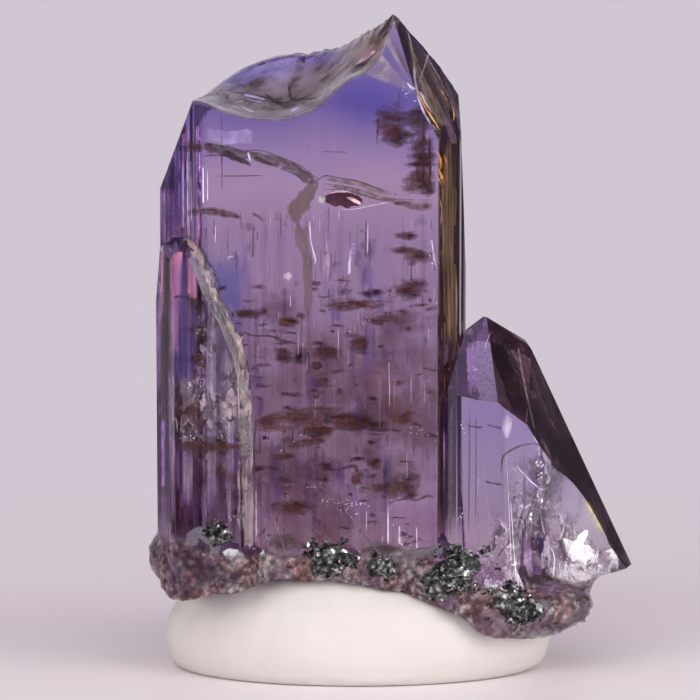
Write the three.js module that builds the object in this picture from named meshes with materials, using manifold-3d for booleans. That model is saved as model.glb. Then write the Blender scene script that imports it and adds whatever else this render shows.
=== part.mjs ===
// A natural tanzanite specimen: a tall prismatic crystal with a broken top, a thinner
// prism grown along its lower left front, and a steep side crystal on its right, all one
// piece of zoisite, with clumps of graphite flakes along its root. It stands in a pressed
// lump of white mounting putty. Millimetres, +Z up; X runs to the right across the broad
// face, which looks towards -Y. The origin is the middle of the putty's flat underside.

import * as THREE from "three";
import { mergeVertices } from "three/addons/utils/BufferGeometryUtils.js";
import Module from "manifold-3d";

const wasm = await Module();
wasm.setup();

// Driving dimensions of the main prism
const FRONT = -3.6; // the broad face
const BACK = 3.3;
const LEFT = -8.25;
const RIGHT = 2.65;
const FACE_LEFT = -6.85; // where the broad face begins
const FACE_RIGHT = 1.58; // and where it ends
const TIP_HEIGHT = 23.5;
const BACK_FALL = 0.3; // how steeply the top falls behind the crest
const ROOM = 30; // longer than anything here, for tools that cut

// Driving dimensions of the putty
const PUTTY_HALF_WIDTH = 7.0;
const PUTTY_HALF_DEPTH = 4.7;
const PUTTY_CENTRE = -1.23;
const PUTTY_HEIGHT = 4.0;

const SEAT_GAP = 0.05; // the crystal stands this far clear of the putty under it
const CLUMP_GAP = 0.03; // and each graphite clump this far clear of the crystal

const point = (x, y, z) => new THREE.Vector3(x, y, z);

// Solids

function solidOf(geometry) {
  const bare = geometry.clone();
  bare.deleteAttribute("normal");
  bare.deleteAttribute("uv");
  const merged = mergeVertices(bare, 1e-4);
  return new wasm.Manifold(
    new wasm.Mesh({
      numProp: 3,
      vertProperties: new Float32Array(merged.attributes.position.array),
      triVerts: new Uint32Array(merged.index.array),
    }),
  );
}

function geometryOf(solid) {
  const mesh = solid.getMesh();
  const geometry = new THREE.BufferGeometry();
  geometry.setAttribute("position", new THREE.BufferAttribute(mesh.vertProperties, 3));
  geometry.setIndex(new THREE.BufferAttribute(mesh.triVerts, 1));
  const faceted = geometry.toNonIndexed();
  faceted.computeVertexNormals();
  return faceted;
}

// A smooth height along x through a few [x, z] points, level past both ends.
function heightThrough(points) {
  const last = points.length - 1;
  const slopeAt = (i) => {
    const a = points[Math.max(i - 1, 0)];
    const b = points[Math.min(i + 1, last)];
    return (b[1] - a[1]) / (b[0] - a[0]);
  };
  return (x) => {
    if (x <= points[0][0]) return points[0][1];
    if (x >= points[last][0]) return points[last][1];
    const i = points.findIndex((p) => p[0] > x) - 1;
    const [x0, z0] = points[i];
    const [x1, z1] = points[i + 1];
    const w = x1 - x0;
    const t = (x - x0) / w;
    const bend = t * t * (3 - 2 * t);
    const ends = slopeAt(i) * t * (1 - t) ** 2 - slopeAt(i + 1) * t * t * (1 - t);
    return z0 + (z1 - z0) * bend + ends * w;
  };
}

// Uneven ground made of a few crossing waves, between about -1 and 1.
function unevenness(x, y, z, pitch) {
  const k = (2 * Math.PI) / pitch;
  const broad = Math.sin(k * (x + 0.6 * z)) * Math.cos(k * (0.8 * y - 0.5 * z + 1.3));
  const fine = Math.sin(k * 2.3 * (y + 0.3 * x) + 0.7) * Math.sin(k * 2.1 * (z - 0.4 * x));
  return 0.65 * broad + 0.35 * fine;
}

// A block between x0..x1 and y0..y1 whose top or bottom follows height(x, y).
function terrain({ x0, x1, y0, y1, level, height, across, deep, filledAbove = false }) {
  const geometry = new THREE.BoxGeometry(x1 - x0, y1 - y0, 1, across, deep, 1);
  geometry.translate((x0 + x1) / 2, (y0 + y1) / 2, 0);
  const places = geometry.attributes.position;
  for (let i = 0; i < places.count; i++) {
    const uneven = places.getZ(i) > 0 !== filledAbove;
    places.setZ(i, uneven ? height(places.getX(i), places.getY(i)) : level);
  }
  return solidOf(geometry);
}

// A wall of the given [x, y] outline standing between two heights.
function standing(outline, bottom, top) {
  const shape = new THREE.Shape(outline.map(([x, y]) => new THREE.Vector2(x, y)));
  const geometry = new THREE.ExtrudeGeometry(shape, {
    depth: top - bottom,
    bevelEnabled: false,
  });
  return solidOf(geometry.translate(0, 0, bottom));
}

// An [x, z] shape with its face towards the front, between two depths in y.
function facing(shape, front, back, extra = {}) {
  const geometry = new THREE.ExtrudeGeometry(shape, {
    depth: back - front,
    bevelEnabled: false,
    ...extra,
  });
  return solidOf(geometry.rotateX(Math.PI / 2).translate(0, back, 0));
}

// What lies beyond the flat face through three points, on the side away from the inside.
function beyond(a, b, c, inside) {
  const plane = new THREE.Plane().setFromCoplanarPoints(a, b, c);
  if (plane.distanceToPoint(inside) > 0) plane.negate();
  const box = new THREE.BoxGeometry(2 * ROOM, 2 * ROOM, ROOM);
  box.translate(0, 0, ROOM / 2);
  const turn = new THREE.Quaternion().setFromUnitVectors(point(0, 0, 1), plane.normal);
  return solidOf(box.applyQuaternion(turn).translate(a.x, a.y, a.z));
}

// Fine steps along one side of a prism: growth grooves that run its whole length.
function grooved(from, to, steps, depth) {
  const along = new THREE.Vector2(to[0] - from[0], to[1] - from[1]);
  const inward = new THREE.Vector2(-along.y, along.x).normalize();
  const path = [];
  for (let i = 1; i < steps; i++) {
    const share = i / steps + (0.16 / steps) * Math.sin(i * 2.4);
    const cut = depth * (0.5 + 0.5 * Math.sin(i * 1.9 + 0.4)) * (i % 2);
    path.push([
      from[0] + along.x * share + inward.x * cut,
      from[1] + along.y * share + inward.y * cut,
    ]);
  }
  return path;
}

// The main prism

const prismSection = () => {
  const corners = {
    faceLeft: [FACE_LEFT, FRONT],
    faceRight: [FACE_RIGHT, FRONT],
    rightFront: [2.25, -2.1],
    rightMiddle: [RIGHT, -0.5],
    rightBack: [RIGHT - 0.1, 0.9],
    backRight: [1.75, BACK],
    backLeft: [-6.85, BACK],
    leftBack: [-8.0, 1.7],
    leftMiddle: [LEFT, -0.3],
    leftFront: [LEFT + 0.05, -1.9],
    stripLeft: [-7.33, -3.3],
  };
  return [
    corners.faceLeft,
    corners.faceRight,
    ...grooved(corners.faceRight, corners.rightFront, 5, 0.07),
    corners.rightFront,
    ...grooved(corners.rightFront, corners.rightMiddle, 5, 0.07),
    corners.rightMiddle,
    corners.rightBack,
    ...grooved(corners.rightBack, corners.backRight, 7, 0.08),
    corners.backRight,
    ...grooved(corners.backRight, corners.backLeft, 12, 0.07),
    corners.backLeft,
    ...grooved(corners.backLeft, corners.leftBack, 7, 0.08),
    corners.leftBack,
    corners.leftMiddle,
    corners.leftFront,
    ...grooved(corners.leftFront, corners.stripLeft, 5, 0.05),
    corners.stripLeft,
    ...grooved(corners.stripLeft, corners.faceLeft, 6, 0.06),
  ];
};

// The broken top: its rim along the broad face, the crest behind it, and how far back
// the crest runs.
const frontRim = heightThrough([
  [-8.4, 20.3],
  [-6.8, 20.5],
  [-5.95, 20.19],
  [-5.3, 19.99],
  [-4.67, 19.91],
  [-3.8, 19.88],
  [-3.2, 20.07],
  [-2.6, 20.31],
  [-2.12, 20.75],
  [-1.56, 21.26],
  [-1.0, 21.5],
  [-0.2, 22.3],
  [0.03, TIP_HEIGHT],
  [0.5, 26.0],
]);
const crest = heightThrough([
  [-8.4, 19.3],
  [-7.2, 20.19],
  [-6.67, 20.6],
  [-5.97, 21.15],
  [-5.15, 21.63],
  [-4.48, 21.89],
  [-3.7, 22.06],
  [-2.9, 22.07],
  [-2.55, 22.18],
  [-1.72, 22.37],
  [-1.15, 22.75],
  [-0.42, 23.21],
  [0.03, TIP_HEIGHT],
  [0.38, 23.22],
  [0.97, 22.36],
  [1.47, 21.82],
  [1.89, 21.19],
  [2.36, 20.27],
  [2.65, 19.6],
]);
const crestDepth = heightThrough([
  [-8.4, -1.2],
  [-7.2, -0.4],
  [-6.67, 0.8],
  [-5.97, 1.8],
  [-5.15, 2.3],
  [-3.7, 2.3],
  [-2.6, 1.6],
  [-1.7, 0.6],
  [-1.1, -0.2],
  [0.03, -2.1],
  [0.97, -0.9],
  [1.9, 0.2],
  [2.4, 0.7],
]);

function brokenTop(x, y) {
  const ridge = crestDepth(x);
  if (y > ridge) return crest(x) - BACK_FALL * (y - ridge);
  const share = Math.max((y - FRONT) / (ridge - FRONT), 0);
  const ledge = 0.1 * share + 0.9 * share ** 1.5;
  const reach = Math.hypot(x + 3.0, 1.5 * (y - 3.4));
  const shell = Math.sin(reach * 5.2) * 0.06 * Math.min(1, 4 * share * (1 - share) + 0.2);
  return frontRim(x) + (crest(x) - frontRim(x)) * ledge + shell;
}

const middle = point(-2.5, 0, 12);

function mainPrism() {
  const prism = standing(prismSection(), 1, 26);
  const under = terrain({
    x0: LEFT - 0.6,
    x1: RIGHT + 0.6,
    y0: FRONT - 0.4,
    y1: BACK + 0.4,
    level: 0,
    height: brokenTop,
    across: 56,
    deep: 20,
  });
  const tipFace = beyond(
    point(-1.0, FRONT, 21.5),
    point(0.79, FRONT, 20.79),
    point(-0.15, -3.05, 22.1),
    middle,
  );
  const rightFace = beyond(
    point(0.79, FRONT, 20.79),
    point(0.03, -2.1, TIP_HEIGHT),
    point(1.47, -0.3, 21.9),
    middle,
  );
  const taper = beyond(
    point(2.67, 0, 14),
    point(2.67, 1, 14),
    point(2.44, 0, 19.6),
    middle,
  );
  const leftShoulder = beyond(
    point(-7.2, -0.4, 20.19),
    point(-8.25, -1.0, 17.3),
    point(-7.31, -3.3, 19.6),
    middle,
  );
  return prism
    .intersect(under)
    .subtract(tipFace)
    .subtract(rightFace)
    .subtract(taper)
    .subtract(leftShoulder);
}

// The thinner prism along the lower left front, with a sloping chamfered edge

function leftPrism() {
  const chamfer = 0.45;
  const outline = new THREE.Shape();
  outline.moveTo(-7.85, 1);
  outline.lineTo(-5.3, 1);
  outline.lineTo(-5.33, 7.7);
  outline.lineTo(-5.4, 10.4);
  outline.quadraticCurveTo(-5.45, 11.6, -6.0, 12.65);
  outline.quadraticCurveTo(-6.75, 14.1, -7.02, 14.9);
  outline.quadraticCurveTo(-7.3, 15.6, -7.72, 15.1);
  outline.lineTo(-7.88, 13.4);
  const slab = facing(outline, -3.75, -2.2, {
    bevelEnabled: true,
    bevelThickness: 0.65,
    bevelSize: chamfer,
    bevelSegments: 1,
    curveSegments: 6,
  });
  const flank = beyond(
    point(-7.85, -4.05, 4),
    point(-7.85, -4.05, 14),
    point(-8.5, -2.0, 4),
    middle,
  );
  return slab.subtract(flank);
}

// The side crystal: upright faces on its left, two slanting faces on its right, and a
// broken lower corner with a shell-shaped hollow in front

function sideCrystal() {
  const front = -3.9;
  const section = [
    [1.7, -2.8],
    [1.95, front + 0.35],
    [2.25, front + 0.12],
    [3.0, front],
    [3.9, front],
    [4.6, front + 0.16],
    [5.2, front + 0.5],
    [9.2, 0.1],
    [8.8, 1.7],
    [6.0, 2.1],
    [2.9, 1.9],
  ];
  const core = point(4.0, -1, 5);
  const topFace = beyond(
    point(1.86, front, 10.19),
    point(3.48, -3.4, 10.38),
    point(2.9, -0.6, 12.45),
    core,
  );
  const leftFace = beyond(
    point(1.62, -3.6, 9.22),
    point(1.84, front, 10.19),
    point(2.65, -0.9, 12.25),
    core,
  );
  const brownFace = beyond(
    point(3.3, -0.3, 12.72),
    point(4.49, 0.2, 11.95),
    point(3.75, front, 9.94),
    core,
  );
  const longFace = beyond(
    point(5.0, 0.2, 11.55),
    point(8.58, 0.2, 3.9),
    point(5.3, -3.2, 8.3),
    core,
  );
  const upperBackFace = beyond(
    point(3.3, -0.3, 12.72),
    point(4.53, 0.2, 12.0),
    point(4.4, 2.1, 9.8),
    core,
  );
  const leftBackFace = beyond(
    point(2.65, -0.9, 12.25),
    point(3.3, -0.3, 12.72),
    point(2.9, 1.9, 10.2),
    core,
  );
  const rightBackFace = beyond(
    point(5.0, 0.2, 11.55),
    point(8.58, 0.2, 3.9),
    point(7.9, 2.1, 3.9),
    core,
  );
  const broken = new THREE.Shape();
  broken.moveTo(9.6, 3.7);
  broken.lineTo(8.6, 3.58);
  broken.lineTo(8.0, 3.48);
  broken.quadraticCurveTo(7.35, 3.5, 7.15, 3.05);
  broken.quadraticCurveTo(6.98, 2.8, 6.98, 2.5);
  broken.lineTo(6.66, 1.95);
  broken.lineTo(6.4, 0.2);
  broken.lineTo(9.6, 0.2);
  const hollow = rippledBall(8.55, -5.4, 4.9, 4.5, 4.5, 4.6);
  return standing(section, 1, 14)
    .subtract(topFace)
    .subtract(leftFace)
    .subtract(brownFace)
    .subtract(longFace)
    .subtract(upperBackFace)
    .subtract(leftBackFace)
    .subtract(rightBackFace)
    .subtract(facing(broken, -6, 6))
    .subtract(hollow);
}

// A ball with rings of low ripples, which leaves a shell-shaped hollow where it cuts.
function rippledBall(x, y, z, rx, ry, rz) {
  const ball = new THREE.SphereGeometry(1, 32, 24);
  const places = ball.attributes.position;
  const at = new THREE.Vector3();
  for (let i = 0; i < places.count; i++) {
    at.fromBufferAttribute(places, i);
    const ripple = 1 + 0.012 * Math.sin(9 * at.x + 14 * at.z);
    places.setXYZ(i, x + rx * at.x * ripple, y + ry * at.y * ripple, z + rz * at.z * ripple);
  }
  return solidOf(ball);
}

// The rough root that all of them grow from

function lump(x, y, z, rx, ry, rz, rough, pitch, detail, lean = 0) {
  const ball = new THREE.IcosahedronGeometry(1, detail);
  const places = ball.attributes.position;
  const at = new THREE.Vector3();
  for (let i = 0; i < places.count; i++) {
    at.fromBufferAttribute(places, i);
    const swell = 1 + rough * unevenness(rx * at.x + x, ry * at.y + y, rz * at.z + z, pitch);
    places.setXYZ(i, rx * at.x * swell, ry * at.y * swell, rz * at.z * swell);
  }
  return solidOf(ball.rotateY(-lean).translate(x, y, z));
}

// How high the rough root climbs, left to right, and how far forward the crystal behind
// it stands.
const rootTop = heightThrough([
  [-8.4, 5.3],
  [-7.2, 5.7],
  [-6.0, 5.6],
  [-5.0, 4.9],
  [-3.4, 4.7],
  [-2.2, 5.2],
  [-0.8, 4.75],
  [0.9, 4.9],
  [2.0, 4.95],
  [3.2, 4.3],
  [4.4, 3.7],
  [5.6, 3.2],
  [6.8, 2.9],
]);
const rootFront = heightThrough([
  [-8.4, -1.6],
  [-7.95, -3.6],
  [-7.4, -4.25],
  [-5.2, -4.35],
  [-4.6, FRONT],
  [1.7, FRONT],
  [2.3, -3.9],
  [4.3, -3.75],
  [6.9, -1.75],
]);

function rootApron() {
  const left = -8.35;
  const right = 6.85;
  const geometry = new THREE.BoxGeometry(right - left, 1, 4.6, 46, 1, 15);
  geometry.translate((left + right) / 2, 0, 3.7);
  const places = geometry.attributes.position;
  for (let i = 0; i < places.count; i++) {
    const x = places.getX(i);
    const z = places.getZ(i);
    const swell = Math.min(1, Math.max(-2.4, (rootTop(x) - z) / 0.8));
    const rough = 0.2 * unevenness(x, 0, z, 1.15) * Math.max(0, swell);
    const forward = rootFront(x) - (swell > 0 ? 0.34 : 1.4) * swell - rough;
    places.setY(i, places.getY(i) < 0 ? forward : -0.8);
  }
  return solidOf(geometry);
}

const rootLumps = () => [
  rootApron(),
  lump(-7.45, -2.1, 4.3, 1.1, 2.3, 1.25, 0.11, 1.5, 4),
  lump(1.9, -3.7, 3.7, 1.2, 0.75, 0.8, 0.12, 1.2, 4),
  lump(5.2, -2.6, 2.6, 1.8, 1.3, 0.8, 0.13, 1.2, 4),
];

// The underside of the whole crystal, left to right, where it was broken off.
const underside = heightThrough([
  [-8.6, 4.3],
  [-8.25, 3.6],
  [-7.9, 3.25],
  [-7.4, 3.08],
  [-6.65, 3.28],
  [-5.4, 3.42],
  [-4.3, 3.72],
  [-3.2, 3.68],
  [-2.3, 3.74],
  [-0.5, 3.46],
  [0.35, 3.32],
  [1.4, 2.93],
  [2.55, 2.41],
  [3.1, 1.95],
  [4.0, 1.7],
  [5.0, 1.64],
  [5.9, 1.75],
  [6.7, 2.0],
]);

const underAt = (x, y) =>
  underside(x) + 0.07 * unevenness(x, y, 0, 1.9) - 0.03 * (y - FRONT);

const allX = { x0: -10, x1: 10, y0: -7, y1: 7 };

function crystalSolid() {
  const ground = terrain({ ...allX, level: -2, height: underAt, across: 60, deep: 20 });
  return rootLumps()
    .reduce((all, one) => all.add(one), mainPrism().add(leftPrism()).add(sideCrystal()))
    .subtract(ground);
}

// The putty: a pressed bun with a flat underside, with the crystal's print in its top

function puttySolid(crystal) {
  const edge = new THREE.SplineCurve([
    new THREE.Vector2(0.92, 0),
    new THREE.Vector2(0.975, 0.06),
    new THREE.Vector2(1.0, 0.25),
    new THREE.Vector2(0.985, 0.42),
    new THREE.Vector2(0.94, 0.58),
    new THREE.Vector2(0.85, 0.78),
    new THREE.Vector2(0.7, 0.94),
    new THREE.Vector2(0.5, 1.0),
  ]).getPoints(8);
  const profile = [new THREE.Vector2(0, 0), ...edge, new THREE.Vector2(0, 1.0)];
  const bun = new THREE.LatheGeometry(profile, 44);
  bun.rotateX(Math.PI / 2);
  const places = bun.attributes.position;
  for (let i = 0; i < places.count; i++) {
    const z = places.getZ(i) * PUTTY_HEIGHT;
    const x = places.getX(i) * PUTTY_HALF_WIDTH;
    const y = places.getY(i) * PUTTY_HALF_DEPTH;
    const soft = 1 + 0.012 * unevenness(x, y, z, 6) * Math.min(1, z);
    places.setXYZ(i, x * soft + PUTTY_CENTRE, y * soft, z);
  }
  const pressed = terrain({
    ...allX,
    level: -1,
    height: (x, y) => underside(x) - 0.03 * (y - FRONT),
    across: 30,
    deep: 4,
  });
  const print = crystal.translate([0, 0, -SEAT_GAP]).add(crystal);
  return solidOf(bun).intersect(pressed).subtract(print);
}

// Graphite: low crusts of dark flakes on the root. Each is given by its place in x and z,
// its half width, thickness and half height, and how far its right end is raised.

const graphiteClumps = {
  graphite_clump_left: [-6.1, 5.45, 0.4, 0.2, 0.32, 0.5],
  graphite_clump_centre: [-2.2, 4.4, 0.72, 0.28, 0.52, 0.2],
  graphite_clump_small: [-0.4, 4.15, 0.42, 0.2, 0.36, 0],
  graphite_clump_right: [2.05, 4.05, 1.1, 0.3, 0.55, 0.55],
  graphite_clump_lower_right: [4.3, 2.85, 0.9, 0.3, 0.5, -0.35],
};

// How far forward the crystal reaches on the line through [x, z] along y.
function frontOf(crystal, x, z) {
  const rod = wasm.Manifold.cube([0.1, 2 * ROOM, 0.1], true).translate([x, 0, z]);
  return crystal.intersect(rod).boundingBox().min[1];
}

function clumpSolid(crystal, [x, z, rx, ry, rz, lean]) {
  const clump = lump(x, frontOf(crystal, x, z), z, rx, ry, rz, 0.3, 0.8, 3, lean);
  const bed = crystal.add(crystal.translate([0, -CLUMP_GAP, 0]));
  const parts = clump.subtract(bed).decompose();
  return parts.reduce((most, one) => (one.volume() > most.volume() ? one : most));
}

// Materials, as they look in daylight

const tanzanite = new THREE.MeshStandardMaterial({
  color: 0x7a5f9a,
  roughness: 0.08,
  metalness: 0,
  transparent: true,
  opacity: 0.75,
});
const graphite = new THREE.MeshStandardMaterial({
  color: 0x3c3d40,
  roughness: 0.35,
  metalness: 0.7,
});
const putty = new THREE.MeshStandardMaterial({
  color: 0xe2dcd6,
  roughness: 0.75,
  metalness: 0,
});

function piece(name, solid, material) {
  const mesh = new THREE.Mesh(geometryOf(solid), material);
  mesh.name = name;
  return mesh;
}

const crystal = crystalSolid();
const specimen = new THREE.Group();
specimen.add(piece("tanzanite_crystal", crystal, tanzanite));
specimen.add(piece("putty_stand", puttySolid(crystal), putty));
for (const [name, form] of Object.entries(graphiteClumps))
  specimen.add(piece(name, clumpSolid(crystal, form), graphite));

export default specimen;
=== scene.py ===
import math
import random

import bmesh
import bpy
from mathutils import Matrix, Vector, noise
from mathutils.bvhtree import BVHTree


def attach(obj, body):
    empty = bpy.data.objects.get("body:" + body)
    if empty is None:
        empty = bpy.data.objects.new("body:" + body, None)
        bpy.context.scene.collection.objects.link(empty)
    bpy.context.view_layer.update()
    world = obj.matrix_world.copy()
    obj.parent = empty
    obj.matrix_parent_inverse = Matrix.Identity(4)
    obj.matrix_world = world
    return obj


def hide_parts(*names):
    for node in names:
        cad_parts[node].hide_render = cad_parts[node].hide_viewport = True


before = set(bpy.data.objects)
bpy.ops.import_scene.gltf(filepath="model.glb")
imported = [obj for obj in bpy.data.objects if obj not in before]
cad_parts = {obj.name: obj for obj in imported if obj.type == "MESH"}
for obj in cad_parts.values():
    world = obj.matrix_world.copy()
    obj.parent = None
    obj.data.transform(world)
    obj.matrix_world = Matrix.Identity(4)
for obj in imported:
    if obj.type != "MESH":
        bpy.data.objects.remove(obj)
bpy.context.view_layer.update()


# The crystal: zoisite that grew as a tall prism with a thinner one along its left front
# and a side crystal leaning out on the right, all one stone. Its growth faces are flat
# and finely grooved, its top is a shell-like break, and its root is rough and stained.

MM = 0.001
PER_METRE = 1000.0
CRYSTAL_TOP = 23.5  # mm, like every place and size of the stone below
STONE_IOR = 1.69
STONE_VIOLET = (0.587, 0.313, 0.673, 1)
STONE_DEPTH = 150.0  # how strongly a metre of the stone takes up light
BROWN_MAUVE = (0.50, 0.42, 0.38)
WELD = 0.0005 * MM  # corners nearer than this are one
SMALL_FACE = 0.25 * MM * MM  # broken ground has faces below this, growth faces are larger
SHARPEST = math.radians(50)  # small faces that meet at less than this flow together


def add_object(name, data):
    obj = bpy.data.objects.new(name, data)
    bpy.context.scene.collection.objects.link(obj)
    return obj


def cad_copy(node, name):
    obj = add_object(name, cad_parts[node].data.copy())
    obj.data.materials.clear()
    return obj


def new_material(name):
    material = bpy.data.materials.new(name)
    material.use_nodes = True
    return material, material.node_tree, material.node_tree.nodes["Principled BSDF"]


class Value:
    """What a shader node gives, to be reckoned with like a number."""

    def __init__(self, socket):
        self.socket = socket
        self.tree = socket.id_data

    def __add__(self, other):
        return reckon(self.tree, "ADD", self, other)

    def __sub__(self, other):
        return reckon(self.tree, "SUBTRACT", self, other)

    def __rsub__(self, other):
        return reckon(self.tree, "SUBTRACT", other, self)

    def __mul__(self, other):
        return reckon(self.tree, "MULTIPLY", self, other)

    def __truediv__(self, other):
        return reckon(self.tree, "DIVIDE", self, other)


def feed(socket, value):
    """Links a shader value to a socket, or sets a number or colour on it."""
    if isinstance(value, Value):
        value = value.socket
    if isinstance(value, bpy.types.NodeSocket):
        socket.id_data.links.new(value, socket)
    elif socket.type == "RGBA":
        socket.default_value = (*value, 1)[:4]
    else:
        socket.default_value = value


def node(tree, kind, *fed, **settings):
    """A shader node with its settings, and what its first sockets are fed with."""
    made = tree.nodes.new(kind)
    for key, value in settings.items():
        if key in made.inputs:
            feed(made.inputs[key], value)
        else:
            setattr(made, key, value)
    for socket, value in zip(made.inputs, fed):
        feed(socket, value)
    return made


def reckon(tree, operation, a, b=0.0):
    return Value(node(tree, "ShaderNodeMath", a, b, operation=operation).outputs[0])


def larger(a, b):
    return reckon(a.tree, "MAXIMUM", a, b)


def root_of(a):
    return reckon(a.tree, "SQRT", a)


def held(value):
    """A sum or product, kept between 0 and 1."""
    value.socket.node.use_clamp = True
    return value


def rise(value, start, end):
    """0 where the value is at the start, 1 at the end, and smooth between."""
    made = node(value.tree, "ShaderNodeMapRange", value, start, end, interpolation_type="SMOOTHSTEP")
    return Value(made.outputs[0])


def blend(factor, a, b, how="MIX"):
    made = node(a.tree, "ShaderNodeMix", factor, data_type="RGBA", blend_type=how)
    feed(made.inputs[6], a)
    feed(made.inputs[7], b)
    return Value(made.outputs[2])


def ramp(value, stops):
    made = node(value.tree, "ShaderNodeValToRGB", value)
    elements = made.color_ramp.elements
    while len(elements) < len(stops):
        elements.new(0.5)
    for element, (position, colour) in zip(elements, stops):
        element.position = position
        element.color = (*colour, 1)
    return Value(made.outputs["Color"])


def new_group(name, given, told):
    """A shader node group, by the names and kinds of what goes in and what comes out."""
    group = bpy.data.node_groups.new(name, "ShaderNodeTree")
    for way, sockets in (("INPUT", given), ("OUTPUT", told)):
        for label, kind in sockets.items():
            group.interface.new_socket(label, in_out=way, socket_type="NodeSocket" + kind)
    return group, node(group, "NodeGroupInput").outputs, node(group, "NodeGroupOutput").inputs


def growth_grain():
    """Drawn-out noise from 0 to 1, such as the fine lines that run along the prisms."""
    given = {"Per mm": "Vector", "Turn": "Vector", "Detail": "Float"}
    group, given, told = new_group("growth_grain", given, {"Grain": "Float"})
    place = node(group, "ShaderNodeTexCoord")
    turned = node(group, "ShaderNodeVectorRotate", rotation_type="EULER_XYZ",
                  Vector=place.outputs["Object"], Rotation=given["Turn"])
    in_mm = node(group, "ShaderNodeVectorMath", turned.outputs[0], operation="SCALE", Scale=PER_METRE)
    drawn = node(group, "ShaderNodeVectorMath", in_mm.outputs[0], given["Per mm"], operation="MULTIPLY")
    grain = node(group, "ShaderNodeTexNoise", drawn.outputs[0], Scale=1.0, Detail=given["Detail"])
    feed(told["Grain"], grain.outputs["Fac"])
    return group


GROWTH_GRAIN = growth_grain()


def grain(tree, per_mm, detail=2.0, turn=(0, 0, 0)):
    made = node(tree, "ShaderNodeGroup", per_mm, turn, detail, node_tree=GROWTH_GRAIN)
    return Value(made.outputs["Grain"])


def axes_in_mm(tree):
    place = node(tree, "ShaderNodeTexCoord")
    in_mm = node(tree, "ShaderNodeVectorMath", place.outputs["Object"], operation="SCALE", Scale=PER_METRE)
    return [Value(axis) for axis in node(tree, "ShaderNodeSeparateXYZ", in_mm.outputs[0]).outputs]


def bumpy(shader, height, strength, deep):
    bump = node(shader.id_data, "ShaderNodeBump", Height=height, Strength=strength, Distance=deep)
    feed(shader.inputs["Normal"], bump.outputs["Normal"])


# What a face looks like where it differs from the clear stone: how it faces and how nearly,
# the part of the stone it lies on, its colour, how much that covers, the colour of its light
# streaks, which are painted glints, and whether these run along its slope (1) or upright (0).
SLOPE = (0.854, -0.315, 0.414)
FACE_TONES = [
    (SLOPE, 0.97, lambda x, y, z: z > 17, (0.30, 0.28, 0.20), 0.95, (0.98, 0.88, 0.66), 1),
    (SLOPE, 0.97, lambda x, y, z: x > 3.2, (0.075, 0.045, 0.042), 1.0, (0.50, 0.43, 0.42), 1),
    ((0.61, -0.435, 0.66), 0.97, lambda x, y, z: x > 2.9, (0.13, 0.07, 0.06), 1.0, (0.42, 0.34, 0.22), 1),
    ((0.084, -0.58, 0.81), 0.97, lambda x, y, z: x > 1.5, (0.58, 0.56, 0.88), 1.0, (0.66, 0.62, 0.84), 0),
    ((1, 0, 0), 0.62, lambda x, y, z: 1.5 < x < 2.75, (0.27, 0.175, 0.08), 1.0, (0.80, 0.55, 0.24), 0),
    ((-1, 0, 0), 0.5, lambda x, y, z: x < -6.9, (0.36, 0.30, 0.44), 0.9, (0.85, 0.80, 0.92), 0),
    ((0.7, -0.7, 0), 0.6, lambda x, y, z: x < -4.7 and y < -3.7 and z > 5,
     (0.46, 0.39, 0.36), 1.0, (0.92, 0.88, 0.86), 0),
]


def tone_faces(mesh):
    tone = mesh.attributes.new("tone", "FLOAT_COLOR", "FACE")
    glint = mesh.attributes.new("glint", "FLOAT_COLOR", "FACE")
    for index, face in enumerate(mesh.polygons):
        x, y, z = face.center / MM
        for facing, match, there, colour, cover, glint_colour, slanting in FACE_TONES:
            if face.normal.dot(Vector(facing).normalized()) > match and there(x, y, z):
                tone.data[index].color = (*colour, cover)
                glint.data[index].color = (*glint_colour, slanting)
                break
        else:
            tone.data[index].color = (1, 1, 1, 0)
            glint.data[index].color = (1, 1, 1, 0)


def soften_small_faces(mesh):
    """Growth faces stay flat; the little faces of broken and rough ground flow together."""
    bm = bmesh.new()
    bm.from_mesh(mesh)
    bmesh.ops.remove_doubles(bm, verts=bm.verts, dist=WELD)
    for face in bm.faces:
        face.smooth = True
    for edge in bm.edges:
        if len(edge.link_faces) != 2:
            continue
        flat = max(face.calc_area() for face in edge.link_faces) > SMALL_FACE
        edge.smooth = not flat and edge.calc_face_angle() < SHARPEST
    bm.to_mesh(mesh)
    bm.free()


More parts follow.
